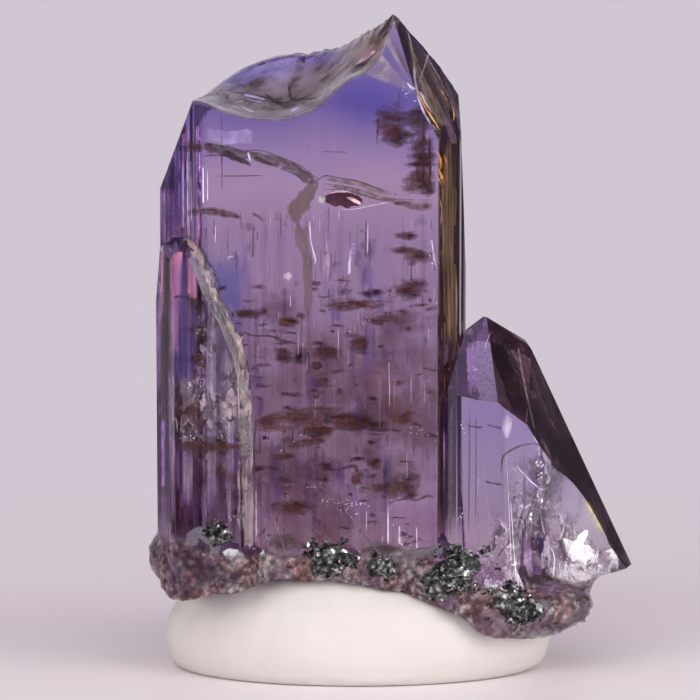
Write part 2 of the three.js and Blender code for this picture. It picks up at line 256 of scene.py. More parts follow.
def stone_colour(tree):
    x, y, z = axes_in_mm(tree)
    drift = (grain(tree, (0.3, 0.3, 0.3)) - 0.5) * 2.4
    height = (z + drift) / CRYSTAL_TOP
    main = ramp(height, [
        (0.10, (0.50, 0.34, 0.36)),
        (0.20, (0.66, 0.52, 0.58)),
        (0.28, (0.90, 0.84, 0.88)),
        (0.48, (0.80, 0.76, 0.80)),
        (0.66, (0.82, 0.78, 0.84)),
        (0.745, (1.00, 0.95, 0.99)),
        (0.79, (0.84, 0.82, 0.98)),
        (0.862, (0.42, 0.42, 0.82)),
        (0.92, (0.66, 0.66, 0.95)),
        (0.98, (0.94, 0.93, 1.00)),
    ])

    # The blue is deepest in a small heart under the scoop's rim.
    right = x + 0.9
    up = (z - 20.7) * 1.5
    away = root_of(right * right + up * up)
    heart = rise(away, 2.4, 0.3) * 0.8
    main = blend(heart, main, (0.58, 0.60, 0.98), "MULTIPLY")

    # The lower two thirds are dulled to a brownish mauve in drifts, but for a clear corner.
    drifts = rise(grain(tree, (0.55, 0.6, 0.45), 4.0), 0.40, 0.56)
    low = rise(z, 14.5, 10.5)
    corner = rise(x, -0.35, -0.05) * rise(z, 6.75, 6.45)
    dull = (drifts * 0.72 + 0.28) * low
    dull = held(dull * (1.0 - corner))
    main = blend(dull, main, BROWN_MAUVE, "MULTIPLY")

    # Upright bars, where the grooves of the back show through.
    bars = ramp(grain(tree, (3.2, 0.6, 0.06), 3.0), [
        (0.34, (0.66, 0.60, 0.70)),
        (0.46, (0.93, 0.91, 0.95)),
        (0.60, (1, 1, 1)),
    ])
    barred = rise(z, 17.2, 15.5) * 0.75 + 0.12
    main = blend(barred, main, bars, "MULTIPLY")

    # The thin prism and the left edge are deeper violet.
    thin_prism = rise(x, -5.25, -5.45) * rise(z, 15.2, 14.2)
    main = blend(thin_prism, main, (0.50, 0.58, 0.92), "MULTIPLY")
    left_edge = rise(x, -6.5, -6.95) * rise(z, 13.0, 15.0)
    main = blend(left_edge, main, (0.60, 0.55, 0.80), "MULTIPLY")

    # The side crystal has zones of its own and begins at a slanting seam.
    side = ramp(z / 13.0, [
        (0.16, (0.50, 0.38, 0.38)),
        (0.28, (0.78, 0.73, 0.73)),
        (0.42, (0.80, 0.78, 0.81)),
        (0.60, (0.76, 0.76, 0.90)),
        (0.72, (0.70, 0.68, 0.93)),
        (0.95, (0.80, 0.78, 0.96)),
    ])
    side = blend(0.35, side, bars, "MULTIPLY")
    slanting_seam = larger(z - 9.2, 0.0) * 0.35
    beside = rise(x - slanting_seam, 1.8, 1.95)
    colour = blend(beside, main, side)

    # The faces with a tone of their own, their dark streaks, and their light streaks, which are painted
    # glints.
    tone = node(tree, "ShaderNodeAttribute", attribute_name="tone").outputs
    glint = node(tree, "ShaderNodeAttribute", attribute_name="glint").outputs
    upright = grain(tree, (9.0, 9.0, 0.35), 3.0)
    along_slope = grain(tree, (7.0, 7.0, 0.45), 4.0, (0, math.radians(25), 0))
    lines = upright + (along_slope - upright) * glint["Alpha"]
    shade = rise(lines, 0.28, 0.55)
    face = blend((1.0 - shade) * 0.6, Value(tone["Color"]), (0.02, 0.012, 0.012))
    face = blend(rise(lines, 0.585, 0.72), face, glint["Color"])
    return blend(tone["Alpha"], colour, face), z


def stone_material():
    material, tree, shader = new_material("tanzanite_stone")
    colour, z = stone_colour(tree)
    feed(shader.inputs["Base Color"], colour)

    root = rise(z, 4.5, 3.5)
    fine = grain(tree, (6.0, 6.0, 0.12), 3.0)
    broad = grain(tree, (0.8, 0.8, 0.25), 2.0)
    rubble = grain(tree, (2.6, 2.6, 2.6), 5.0) * root
    bumpy(shader, fine * 0.5 + broad + rubble * 9.0, 1.0, 0.01 * MM)
    feed(shader.inputs["Roughness"], root * 0.2 + 0.03)
    shader.inputs["IOR"].default_value = STONE_IOR
    shader.inputs["Transmission Weight"].default_value = 1.0

    # Lamps shine through the stone onto the putty, tinted.
    lit_through = node(tree, "ShaderNodeBsdfTransparent", Color=(0.86, 0.8, 0.9, 1))
    ray = node(tree, "ShaderNodeLightPath")
    mixed = node(tree, "ShaderNodeMixShader", ray.outputs["Is Shadow Ray"],
                 shader.outputs[0], lit_through.outputs[0])
    depth = node(tree, "ShaderNodeVolumeAbsorption", Color=STONE_VIOLET, Density=STONE_DEPTH)
    output = tree.nodes["Material Output"]
    feed(output.inputs["Surface"], mixed.outputs[0])
    feed(output.inputs["Volume"], depth.outputs[0])
    return material


crystal = cad_copy("tanzanite_crystal", "tanzanite_stone")
soften_small_faces(crystal.data)
tone_faces(crystal.data)
crystal.data.materials.append(stone_material())
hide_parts("tanzanite_crystal")
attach(crystal, "root")


# The root crust: where the crystal was broken from its rock, a skin of iron-stained
# rubble and grey grit clings to its foot. It is rough, opaque in most places and thins
# out upwards into the clear stone.

CRUST_TOPS = [  # how high the crust climbs from left to right: x and z
    (-8.6, 5.0), (-7.6, 5.2), (-6.4, 4.9), (-5.4, 4.6), (-4.4, 4.5), (-2.6, 4.4), (-1.2, 4.5),
    (0.0, 4.5), (1.6, 4.5), (2.6, 4.0), (3.6, 3.2), (4.4, 3.1), (5.0, 3.4), (5.8, 3.5), (7.0, 3.3),
]
BACK_CRUST_DROP = 1.0  # how much lower it stands behind than in front
CRUST_FADE = 0.9  # mm over which it thins out upwards
CRUST_SKIN = 0.012  # mm: how far all of it stands off the stone
CRUST_GRIT = 0.10  # mm: how high its grains stand
LONGEST_EDGE = 0.14 * MM  # the grain of its mesh


def along(points, x):
    """The height over x on a line through a few points."""
    for (x0, z0), (x1, z1) in zip(points, points[1:]):
        if x <= x1:
            return z0 + (z1 - z0) * max(0.0, (x - x0) / (x1 - x0))
    return points[-1][1]


def crust_top(place):
    """How high, in mm, the crust climbs at a place on the stone."""
    x, y, z = place / MM
    return along(CRUST_TOPS, x) - BACK_CRUST_DROP * min(1.0, max(0.0, (y + 2.0) / 2.0))


def root_crust():
    crust = cad_copy("tanzanite_crystal", "root_crust")
    bm = bmesh.new()
    bm.from_mesh(crust.data)
    bmesh.ops.remove_doubles(bm, verts=bm.verts, dist=WELD)
    bare = [f for f in bm.faces if all(v.co.z > (crust_top(v.co) + CRUST_FADE) * MM for v in f.verts)]
    bmesh.ops.delete(bm, geom=bare, context="FACES")
    for _ in range(5):
        long_edges = [e for e in bm.edges if e.calc_length() > LONGEST_EDGE]
        if not long_edges:
            break
        bmesh.ops.subdivide_edges(bm, edges=long_edges, cuts=1, use_grid_fill=False)
        bmesh.ops.triangulate(bm, faces=[f for f in bm.faces if len(f.verts) > 3])
    bm.normal_update()
    fade = bm.verts.layers.float.new("fade")
    for vert in bm.verts:
        vert[fade] = max(0.0, min(1.0, (crust_top(vert.co) + 0.5 - vert.co.z / MM) / CRUST_FADE))
        grit = noise.fractal(vert.co / MM * 3.1, 0.9, 2.0, 4) * 0.5 + 0.5
        vert.co += vert.normal * (CRUST_SKIN + CRUST_GRIT * vert[fade] * max(0.0, grit)) * MM
    for face in bm.faces:
        face.smooth = False
    bm.to_mesh(crust.data)
    bm.free()
    return crust


def marked(tree, name):
    """What the mesh's points are marked with under a name."""
    return Value(node(tree, "ShaderNodeAttribute", attribute_name=name).outputs["Fac"])


def crust_material():
    material, tree, shader = new_material("root_crust")
    fade = marked(tree, "fade")
    grit = grain(tree, (4.5, 4.5, 4.5), 5.0)
    stained = ramp(grit, [
        (0.36, (0.018, 0.006, 0.006)),
        (0.48, (0.075, 0.030, 0.028)),
        (0.60, (0.17, 0.085, 0.084)),
        (0.74, (0.31, 0.225, 0.22)),
    ])
    grey = ramp(grit, [
        (0.38, (0.035, 0.024, 0.026)),
        (0.52, (0.12, 0.09, 0.10)),
        (0.66, (0.29, 0.23, 0.225)),
    ])
    patches = rise(grain(tree, (1.1, 1.1, 1.1), 3.0), 0.42, 0.56)
    feed(shader.inputs["Base Color"], blend(patches, stained, grey))
    cover = held((fade * 1.25 + grain(tree, (2.2, 2.2, 2.2), 4.0) - 0.95) * 2.6)
    worn = rise(grain(tree, (0.8, 0.8, 0.8), 4.0), 0.40, 0.58) * 0.55 + 0.37
    feed(shader.inputs["Alpha"], cover * worn)
    bumpy(shader, grain(tree, (7.0, 7.0, 7.0), 5.0), 0.9, 0.05 * MM)
    shader.inputs["Roughness"].default_value = 0.3
    return material


crust = root_crust()
crust.data.materials.append(crust_material())
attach(crust, "root")


# Iron stains: thin brown films in cracks that lie nearly level across the prisms. Each
# is a small ragged sheet, tilted, that thins out into threads along the stone's grain.

# Each stain is (x, z, width, height), where it shows on the broad face.
STAINS = [
    (0.0, 19.8, 1.5, 1.0), (0.9, 19.9, 1.3, 0.9), (0.3, 19.3, 1.4, 0.5), (1.1, 18.6, 1.0, 1.6),
    (0.9, 17.6, 1.3, 0.8), (0.5, 15.8, 0.9, 0.2), (0.4, 15.3, 1.1, 0.2), (0.9, 15.1, 1.3, 0.35),
    (-0.7, 13.8, 0.9, 0.25), (0.6, 14.0, 1.5, 0.6), (-1.3, 13.4, 2.5, 0.2), (-7.2, 13.5, 0.9, 0.4),
    (-6.9, 13.3, 0.9, 0.4), (-6.8, 12.5, 0.9, 0.25), (-5.1, 13.1, 1.4, 0.2), (-3.6, 12.8, 0.9, 0.3),
    (-7.1, 11.5, 0.8, 0.6), (-6.5, 11.4, 0.6, 0.2), (-3.8, 11.6, 0.8, 0.5), (-3.2, 11.6, 0.6, 0.5),
    (-2.3, 11.7, 1.3, 0.4), (-1.2, 12.0, 0.9, 0.6), (-2.5, 10.7, 0.8, 0.3), (-0.3, 12.9, 1.4, 0.2),
    (-5.5, 11.5, 0.4, 0.6), (-1.4, 9.3, 1.6, 0.6), (-7.0, 9.3, 1.3, 0.4), (-6.4, 8.5, 1.2, 0.5),
    (-6.1, 8.5, 0.8, 0.5), (0.8, 8.0, 0.9, 0.7), (0.3, 9.4, 1.0, 0.3), (-0.6, 7.8, 0.6, 0.3),
    (0.2, 6.9, 1.2, 0.7), (0.7, 7.2, 0.7, 1.0), (-0.4, 6.95, 0.7, 0.3), (-1.3, 7.3, 0.4, 0.55),
    (-3.6, 6.2, 1.9, 0.35), (-3.8, 5.0, 1.6, 0.4), (-6.2, 7.6, 0.6, 0.5), (-5.7, 7.3, 0.7, 0.3),
    (-5.6, 6.6, 0.5, 0.5), (-0.2, 4.6, 2.6, 0.5), (-2.6, 9.0, 1.4, 0.5),
]
STRAY_STAINS = 210  # smaller ones, strewn by chance
FACE_Y = -3.6  # mm: about where the broad face is
AHEAD_Y = -20  # mm: well in front of the specimen
EYE = Vector((-1.49, -129.3, 25.0))  # mm: where the specimen is looked at from

stone_tree = BVHTree.FromObject(crystal, bpy.context.evaluated_depsgraph_get())


def inside(x, z, depth):
    """The place a depth behind the stone's front that shows at (x, z) on the broad face."""
    away = FACE_Y - EYE.y
    slope_x = (x - EYE.x) / away
    slope_z = (z - EYE.z) / away
    front = FACE_Y
    for _ in range(3):
        behind = front - FACE_Y
        origin = Vector((x + slope_x * behind, AHEAD_Y, z + slope_z * behind)) * MM
        hit = stone_tree.ray_cast(origin, Vector((0, 1, 0)))[0]
        if hit is None:
            break
        front = hit.y / MM
    reach = front - FACE_Y + depth / STONE_IOR
    return Vector((x + slope_x * reach, front + depth, z + slope_z * reach))


def sheet_patch(bm, fade, tint, patch, dice, columns=16, rows=8):
    """A ragged, gently waved sheet in the stone, thinning to its outline."""
    (x, z), width, height, depth, tilt = patch
    centre = inside(x, z, depth)
    wave = dice.uniform(0, 50)
    grid = []
    for j in range(rows + 1):
        v = j / rows * 2 - 1
        for i in range(columns + 1):
            u = i / columns * 2 - 1
            ragged = 1 + 0.35 * noise.noise((u * 2.1 + wave, v * 1.7, wave))
            bend = 0.14 * width * noise.noise((u * 1.3 + wave, v * 0.9, 3.3))
            up = v * height / 2 * (1 + 0.5 * noise.noise((u * 1.9, wave, v)))
            shift = Vector((
                u * width / 2 * ragged,
                up * math.tan(tilt) + bend,
                up + 0.08 * width * noise.noise((u * 1.5, wave, 7.0)),
            ))
            vert = bm.verts.new((centre + shift) * MM)
            vert[fade] = max(0.0, 1 - (u * u + abs(v) ** 2.4)) ** 0.8
            vert[tint] = wave % 1.0
            grid.append(vert)
    weave(bm, grid, columns + 1)


def weave(bm, grid, across):
    """Faces between the rows of a grid of points."""
    for start in range(0, len(grid) - across, across):
        for a in range(start, start + across - 1):
            face = bm.faces.new((grid[a], grid[a + 1], grid[a + across + 1], grid[a + across]))
            face.smooth = True


def smooth_path(points, steps=6):
    """Points on a smooth curve through the given ones."""
    ends = [points[0], *points, points[-1]]
    path = []
    for k in range(len(points) - 1):
        a, b, c, d = (Vector(p) for p in ends[k:k + 4])
        for step in range(steps):
            t = step / steps
            path.append(0.5 * (2 * b + (c - a) * t + (2 * a - 5 * b + 4 * c - d) * t * t
                               + (3 * b - a - 3 * c + d) * t ** 3))
    path.append(Vector(points[-1]))
    return path


SKIN = 0.15  # mm: bands less deep than this follow the surface above them
STEP = 0.9  # mm: where the surface falls off more than this, a band doesn't follow it
THINNEST = 0.008  # mm: the least half width of a band
CLEARANCE = 0.004 * MM  # a film keeps at least this far under the stone's surface


def band(bm, fade, tint, spine, depth, lean, crisp, dice, rows=8):
    """A band in the stone along a few (x, z, half width) points."""
    path = smooth_path(spine)
    wave = dice.uniform(0, 50)
    grid = []
    for k, (x, z, half) in enumerate(path):
        before = path[max(k - 1, 0)]
        after = path[min(k + 1, len(path) - 1)]
        run = Vector((after.x - before.x, 0, after.y - before.y)).normalized()
        sideways = Vector((-run.z, 0, run.x))
        centre = inside(x, z, depth)
        end = min(1.0, 4 * min(k, len(path) - 1 - k) / len(path) + 0.35)
        for j in range(rows + 1):
            v = j / rows * 2 - 1
            ragged = 1 + 0.3 * noise.noise((k * 0.31, v, wave))
            spread = max(half, THINNEST) * v * ragged
            spot = centre + sideways * spread + Vector((0, spread * lean, 0))
            if depth < SKIN:
                cling = inside(x + sideways.x * spread, z + sideways.z * spread, depth)
                spot = cling if abs(cling.y - centre.y) < STEP else centre
            vert = bm.verts.new(spot * MM)
            vert[fade] = end * min(1.0, (1 - abs(v)) * crisp)
            vert[tint] = wave % 1.0
            grid.append(vert)
    weave(bm, grid, rows + 1)


def frayed_film():
    """How the stone's grain frays a film into threads and wisps, and how pale it is there."""
    given = {"Wisps per mm": "Vector", "Edge": "Float", "Cover": "Float"}
    group, given, told = new_group("frayed_film", given, {"Alpha": "Float", "Paleness": "Float"})
    fade = marked(group, "fade")
    level = grain(group, given["Wisps per mm"], 4.0)
    dense = level * 1.1 + grain(group, (7.0, 3.0, 1.2), 3.0) * 0.5 + fade * 0.75
    alpha = held((dense - 1.13) * given["Edge"]) * held(fade * 2.0)
    feed(told["Alpha"], alpha * given["Cover"])
    feed(told["Paleness"], level * 0.8 + marked(group, "tint") * 0.3)
    return group


FRAYED_FILM = frayed_film()


def film_material(name, dark, pale, cover, wisps, roughness=0.5, edge=1.7):
    material, tree, shader = new_material(name)
    film = node(tree, "ShaderNodeGroup", wisps, edge, cover, node_tree=FRAYED_FILM).outputs
    feed(shader.inputs["Alpha"], film["Alpha"])
    feed(shader.inputs["Base Color"], ramp(Value(film["Paleness"]), [(0.38, dark), (0.72, pale)]))
    shader.inputs["Roughness"].default_value = roughness
    return material


def keep_inside(bm):
    """Drops what would stand out of the stone."""
    outside = []
    for vert in bm.verts:
        near, outward = stone_tree.find_nearest(vert.co)[:2]
        if (vert.co - near).dot(outward) > -CLEARANCE:
            outside.append(vert)
    bmesh.ops.delete(bm, geom=outside, context="VERTS")


def marked_mesh():
    bm = bmesh.new()
    return bm, bm.verts.layers.float.new("fade"), bm.verts.layers.float.new("tint")


def add_mesh(name, bm):
    mesh = bpy.data.meshes.new(name)
    bm.to_mesh(mesh)
    bm.free()
    return add_object(name, mesh)


def films(name, material, seed, patches=(), bands=(), lean=0.6, crisp=1.6):
    """All films of one kind: sheets, and bands given as a depth and their points."""
    bm, fade, tint = marked_mesh()
    dice = random.Random(seed)
    for patch in patches:
        sheet_patch(bm, fade, tint, patch, dice)
    for depth, spine in bands:
        band(bm, fade, tint, spine, depth, lean, crisp, dice)
    keep_inside(bm)
    obj = add_mesh(name, bm)
    obj.data.materials.append(material)
    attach(obj, "root")


def some_sheet(dice, x, z, widths, heights, depths, tilt):
    """A sheet at (x, z) whose width, height, depth and tilt are left to chance."""
    return (x, z), *(dice.uniform(*ends) for ends in (widths, heights, depths, (-tilt, tilt)))


def stain_patches():
    dice = random.Random(11)
    for x, z, width, height in STAINS:
        for layer in range(2):
            shift = dice.uniform(-0.15, 0.15) * layer
            depth, tilt = dice.uniform(0.5, 2.6), dice.uniform(-0.9, 0.9)
            yield (x + shift, z + shift * 0.4), width * 1.15, height * 1.3 + 0.12, depth, tilt
    for _ in range(STRAY_STAINS):
        z = 4.8 + 9.5 * dice.random() ** 1.2
        x = dice.uniform(-7.2, 1.4)
        yield some_sheet(dice, x, z, (0.15, 1.0), (0.06, 0.3), (0.6, 5.2), 1.1)


STAIN_BANDS = [
    (0.5, [
        (-7.2, 16.6, 0.14), (-6.86, 16.62, 0.19), (-6.3, 16.66, 0.23), (-5.85, 16.6, 0.22),
        (-5.45, 16.5, 0.12), (-5.2, 16.35, 0.03),
    ]),
    (0.6, [(-4.9, 16.62, 0.05), (-4.68, 16.46, 0.11), (-4.43, 16.3, 0.04)]),
    (0.5, [(-5.9, 18.72, 0.04), (-5.5, 18.52, 0.17), (-4.95, 18.3, 0.03)]),
    (0.5, [(-4.85, 18.55, 0.14), (-4.5, 18.42, 0.13), (-4.05, 18.22, 0.02)]),
    (0.7, [(-0.15, 16.98, 0.05), (0.4, 16.9, 0.14), (0.95, 16.8, 0.22), (1.4, 16.85, 0.24)]),
    (0.5, [(-4.85, 9.1, 0.42), (-4.0, 9.2, 0.44), (-3.1, 9.32, 0.45), (-2.3, 9.4, 0.38)]),
    (1.6, [(-2.6, 9.35, 0.40), (-1.5, 9.35, 0.34), (-0.1, 9.15, 0.20)]),
    (0.9, [(-3.8, 8.42, 0.14), (-3.25, 8.5, 0.25), (-2.7, 8.56, 0.2), (-2.3, 8.64, 0.08)]),
    (1.4, [(-4.2, 8.0, 0.2), (-3.8, 8.04, 0.2), (-3.4, 8.1, 0.1)]),
    (0.4, [(-0.1, 6.4, 0.05), (0.4, 6.55, 0.07), (0.85, 6.5, 0.06), (1.2, 6.65, 0.08), (1.5, 6.6, 0.05)]),
    (0.5, [(-2.55, 13.3, 0.06), (-1.98, 13.42, 0.07), (-1.2, 13.52, 0.05), (0.1, 13.5, 0.02)]),
    (0.6, [(-7.35, 18.85, 0.28), (-6.95, 18.9, 0.32), (-6.6, 18.85, 0.22)]),
    (0.4, [(-0.55, 19.0, 0.06), (-0.52, 19.6, 0.08), (-0.5, 19.95, 0.05)]),
    (0.9, [(1.05, 17.2, 0.03), (1.05, 18.4, 0.1), (1.1, 19.8, 0.08)]),
    (0.7, [(1.3, 17.4, 0.03), (1.3, 18.3, 0.08), (1.28, 19.4, 0.06)]),
    (0.3, [(-7.72, 13.64, 0.1), (-7.30, 13.68, 0.14), (-6.81, 13.46, 0.1)]),
    (0.3, [(-7.58, 12.58, 0.08), (-7.16, 12.55, 0.1), (-6.74, 12.44, 0.05)]),
    (0.3, [(-7.58, 11.53, 0.14), (-7.09, 11.53, 0.18), (-6.53, 11.46, 0.08)]),
    (0.5, [(-7.69, 9.77, 0.3), (-6.74, 9.77, 0.36), (-5.69, 9.56, 0.25)]),
    (0.3, [(-7.65, 8.40, 0.2), (-6.92, 8.43, 0.28), (-6.04, 8.36, 0.2), (-4.99, 8.43, 0.12)]),
    (0.4, [(-4.78, 9.21, 0.2), (-3.94, 9.49, 0.28), (-2.89, 9.63, 0.25), (-1.49, 9.77, 0.15)]),
]

films(
    "iron_stains",
    film_material(
        "iron_stain", (0.024, 0.008, 0.006), (0.115, 0.040, 0.028), 0.93, (1.4, 1.4, 5.0), 0.5, 2.0,
    ),
    11,
    patches=stain_patches(),
    bands=STAIN_BANDS,
)


# Haze and veils: milky, brown-tinged planes of tiny bubbles deep in the stone, which dull
# its lower two thirds and show as soft upright bars where they follow the grain. The long
# side face is brown with gold-grey streaks, from iron in its growth grooves.

def haze_patches():
    dice = random.Random(23)
    for _ in range(20):
        z = dice.uniform(4.5, 13.5)
        x = dice.uniform(-6.6, 0.6)
        if x > -2.0 and z < 8.0:
            x -= 3.0
        yield some_sheet(dice, x, z, (1.2, 3.6), (0.9, 3.4), (1.6, 5.0), 0.4)
    for _ in range(16):
        z = max(dice.gauss(9.8, 1.6), 8.0)
        x = min(dice.gauss(0.0, 1.2), 0.9)
        yield some_sheet(dice, x, z, (0.8, 2.2), (0.5, 1.8), (0.8, 3.5), 0.4)


def veil_patches():
    dice = random.Random(31)
    for _ in range(46):
        z = dice.uniform(5.5, 16.0)
        x = dice.uniform(-6.6, 1.2)
        yield some_sheet(dice, x, z, (0.10, 0.35), (1.2, 3.6), (1.0, 5.0), 0.2)


def smudge_patches():
    dice = random.Random(37)
    for _ in range(90):
        z = dice.uniform(5.5, 16.6)
        x = dice.uniform(-6.8, 1.4)
        yield some_sheet(dice, x, z, (0.15, 0.7), (0.12, 0.6), (0.4, 3.5), 0.6)


def hair_bands(seed, count, thinnest, thickest, longest):
    """Upright hairs along the grain, anywhere in the main prism below its clear head."""
    dice = random.Random(seed)
    for _ in range(count):
        x = dice.uniform(-7.0, 1.5)
        z = dice.uniform(5.0, 17.0)
        tall = dice.uniform(0.2, longest)
        thick = dice.uniform(thinnest, thickest)
        yield dice.uniform(0.2, 4.5), [(x, z, thick), (x + dice.gauss(0, 0.01), max(z - tall, 4.9), thick)]


films(
    "side_face_stain",
    film_material(
        "side_face_stain", (0.085, 0.055, 0.042), (0.44, 0.35, 0.28), 0.80, (5.0, 5.0, 0.5), 0.4, 2.2,
    ),
    29,
    bands=[
        (0.04, [
            (2.0, 19.2, 0.42), (2.0, 17.5, 0.42), (2.02, 15.5, 0.42), (2.08, 13.5, 0.42),
            (2.1, 11.6, 0.36),
        ]),
        (0.04, [(4.88, 11.99, 0.02), (5.72, 10.33, 0.05), (6.56, 8.64, 0.04), (7.37, 6.88, 0.02)]),
        (0.04, [(5.09, 12.16, 0.01), (6.21, 10.12, 0.02), (7.26, 7.94, 0.02), (8.03, 6.00, 0.01)]),
        (0.04, [(4.60, 11.74, 0.03), (5.16, 10.23, 0.06), (5.72, 8.92, 0.03)]),
        (0.04, [(0.54, 22.65, 0.04), (0.93, 21.38, 0.15), (1.42, 20.33, 0.22), (1.80, 19.55, 0.16)]),
        (0.04, [(1.00, 22.16, 0.04), (1.59, 21.17, 0.1), (2.04, 20.19, 0.11)]),
    ],
    crisp=4.0,
)
films(
    "grey_smudges",
    film_material("grey_smudge", (0.055, 0.030, 0.060), (0.20, 0.14, 0.22), 0.55, (2.6, 2.6, 3.2), 0.6),
    37,
    patches=smudge_patches(),
)
films(
    "brown_haze",
    film_material("brown_haze", (0.07, 0.026, 0.024), (0.24, 0.13, 0.13), 0.50, (1.4, 1.4, 2.6), 0.7),
    23,
    patches=haze_patches(),
)
films(
    "milky_veils",
    film_material("milky_veil", (0.34, 0.27, 0.42), (0.72, 0.64, 0.80), 0.34, (2.5, 2.5, 0.5), 0.7),
    31,
    patches=veil_patches(),
    bands=[
        (0.3, [(-6.5, 19.26, 0.3), (-5.7, 19.26, 0.3), (-4.82, 19.26, 0.3)]),
        (0.3, [(-7.75, 14.2, 0.12), (-7.75, 9.0, 0.14), (-7.75, 5.6, 0.12)]),
        (0.5, [(-7.2, 15.2, 0.2), (-7.2, 11.0, 0.24), (-7.2, 6.0, 0.2)]),
        (0.5, [(-6.35, 13.6, 0.16), (-6.35, 9.0, 0.2), (-6.35, 5.8, 0.16)]),
        (0.4, [(-5.7, 12.0, 0.12), (-5.7, 8.0, 0.16), (-5.7, 5.6, 0.14)]),
    ],
    crisp=5.0,
)


# Healed cracks: a ribbon of glassy, grey-lilac break that crosses the upper left, dives
# down as a brownish channel, and opens into an eye-shaped bubble with a dark heart. The
# same crazed break runs along the thin prism's sloping edge.

RIBBON = [
    (-6.64, 18.84, 0.27), (-6.25, 18.89, 0.25), (-5.8, 18.77, 0.2), (-5.27, 18.66, 0.17),
    (-4.73, 18.6, 0.14), (-4.28, 18.5, 0.16), (-3.82, 18.35, 0.17), (-3.36, 18.11, 0.17),
    (-2.9, 17.81, 0.22), (-2.54, 17.65, 0.14),
]
EYE_RIBS = [
    [
        (-2.45, 17.82, 0.05), (-1.98, 17.74, 0.08), (-1.14, 17.62, 0.09), (-0.7, 17.42, 0.09),
        (0.2, 17.2, 0.04),
    ],
    [
        (-2.45, 17.62, 0.06), (-1.63, 17.48, 0.09), (-0.86, 17.28, 0.10), (-0.1, 17.1, 0.05),
        (1.4, 17.07, 0.03),
    ],
]
SLOPING_EDGE = [
    (-7.8, 15.6, 0.06), (-7.35, 15.8, 0.12), (-6.98, 15.5, 0.22), (-6.72, 15.05, 0.27),
    (-6.45, 14.5, 0.28), (-6.15, 13.8, 0.3), (-5.82, 13.15, 0.3), (-5.52, 12.4, 0.26),
    (-5.36, 11.7, 0.25), (-5.28, 11.0, 0.25), (-5.2, 10.2, 0.26), (-5.18, 9.2, 0.26),
    (-5.15, 8.2, 0.25),
]
LOWER_STRIP = [(-5.15, 8.2, 0.3), (-5.1, 6.4, 0.38), (-5.06, 5.4, 0.38), (-5.03, 4.7, 0.34)]

films(
    "healed_cracks",
    film_material(
        "healed_crack", (0.045, 0.028, 0.025), (0.30, 0.24, 0.24), 0.90, (3.4, 3.0, 6.0), 0.3, 3.4,
    ),
    41,
    bands=[(0.3, RIBBON), *((0.35, rib) for rib in EYE_RIBS)],
    lean=0.2,
    crisp=5.0,
)
films(
    "crack_channel",
    film_material(
        "crack_channel", (0.026, 0.014, 0.012), (0.12, 0.078, 0.066), 0.88, (5.0, 5.0, 1.0), 0.35, 3.2,
    ),
    43,
    bands=[
        (0.4, [
            (-2.68, 17.8, 0.18), (-2.86, 17.44, 0.28), (-3.1, 17.09, 0.38), (-3.36, 16.7, 0.42),
            (-3.62, 16.25, 0.28),
        ]),
        (0.9, [
            (-3.15, 16.6, 0.3), (-3.17, 15.68, 0.28), (-2.98, 14.98, 0.22), (-2.96, 13.9, 0.2),
            (-3.02, 12.7, 0.1),
        ]),
        (0.9, [(-4.85, 16.2, 0.04), (-4.88, 15.0, 0.05)]),
        (0.9, [(-0.93, 16.4, 0.03), (-0.95, 15.0, 0.05)]),
        (0.9, [(-1.6, 14.45, 0.04), (-1.58, 13.5, 0.03)]),
    ],
    lean=0.3,
    crisp=2.5,
)
films(
    "pale_patches",
    film_material("pale_patch", (0.30, 0.26, 0.26), (0.70, 0.66, 0.66), 0.70, (2.0, 2.0, 1.4), 0.45, 2.2),
    47,
    patches=[
        ((-7.25, 10.5), 0.7, 0.9, 0.7, 0.3), ((-6.25, 10.2), 0.7, 0.35, 0.8, 0.2),
        ((-5.6, 10.4), 0.5, 1.0, 0.7, 0.2),
        # The patch at (-3.65, 14.4) is a painted glint.
        ((-7.3, 8.55), 0.35, 0.65, 0.7, 0.1), ((-3.65, 14.4), 0.4, 0.4, 0.7, 0.2),
        ((3.97, 9.2), 0.45, 1.0, 0.2, 0.1),
        ((-7.6, 4.3), 1.0, 0.4, 0.1, 0.2), ((-2.3, 15.0), 0.3, 1.6, 1.5, 0.1),
    ],
    bands=[(0.25, LOWER_STRIP)],
    crisp=6.0,
)


# Indigo patches: where the stone is thick or twinned, its blue shows nearly black. They are
# zones of the same zoisite, grown in upright bars along its grain.

def indigo_uprights():
    dice = random.Random(139)
    for _ in range(38):
        x = dice.uniform(-6.8, 0.4)
        z = dice.uniform(6.0, 15.5)
        yield some_sheet(dice, x, z, (0.15, 0.6), (0.7, 3.0), (0.6, 4.5), 0.2)


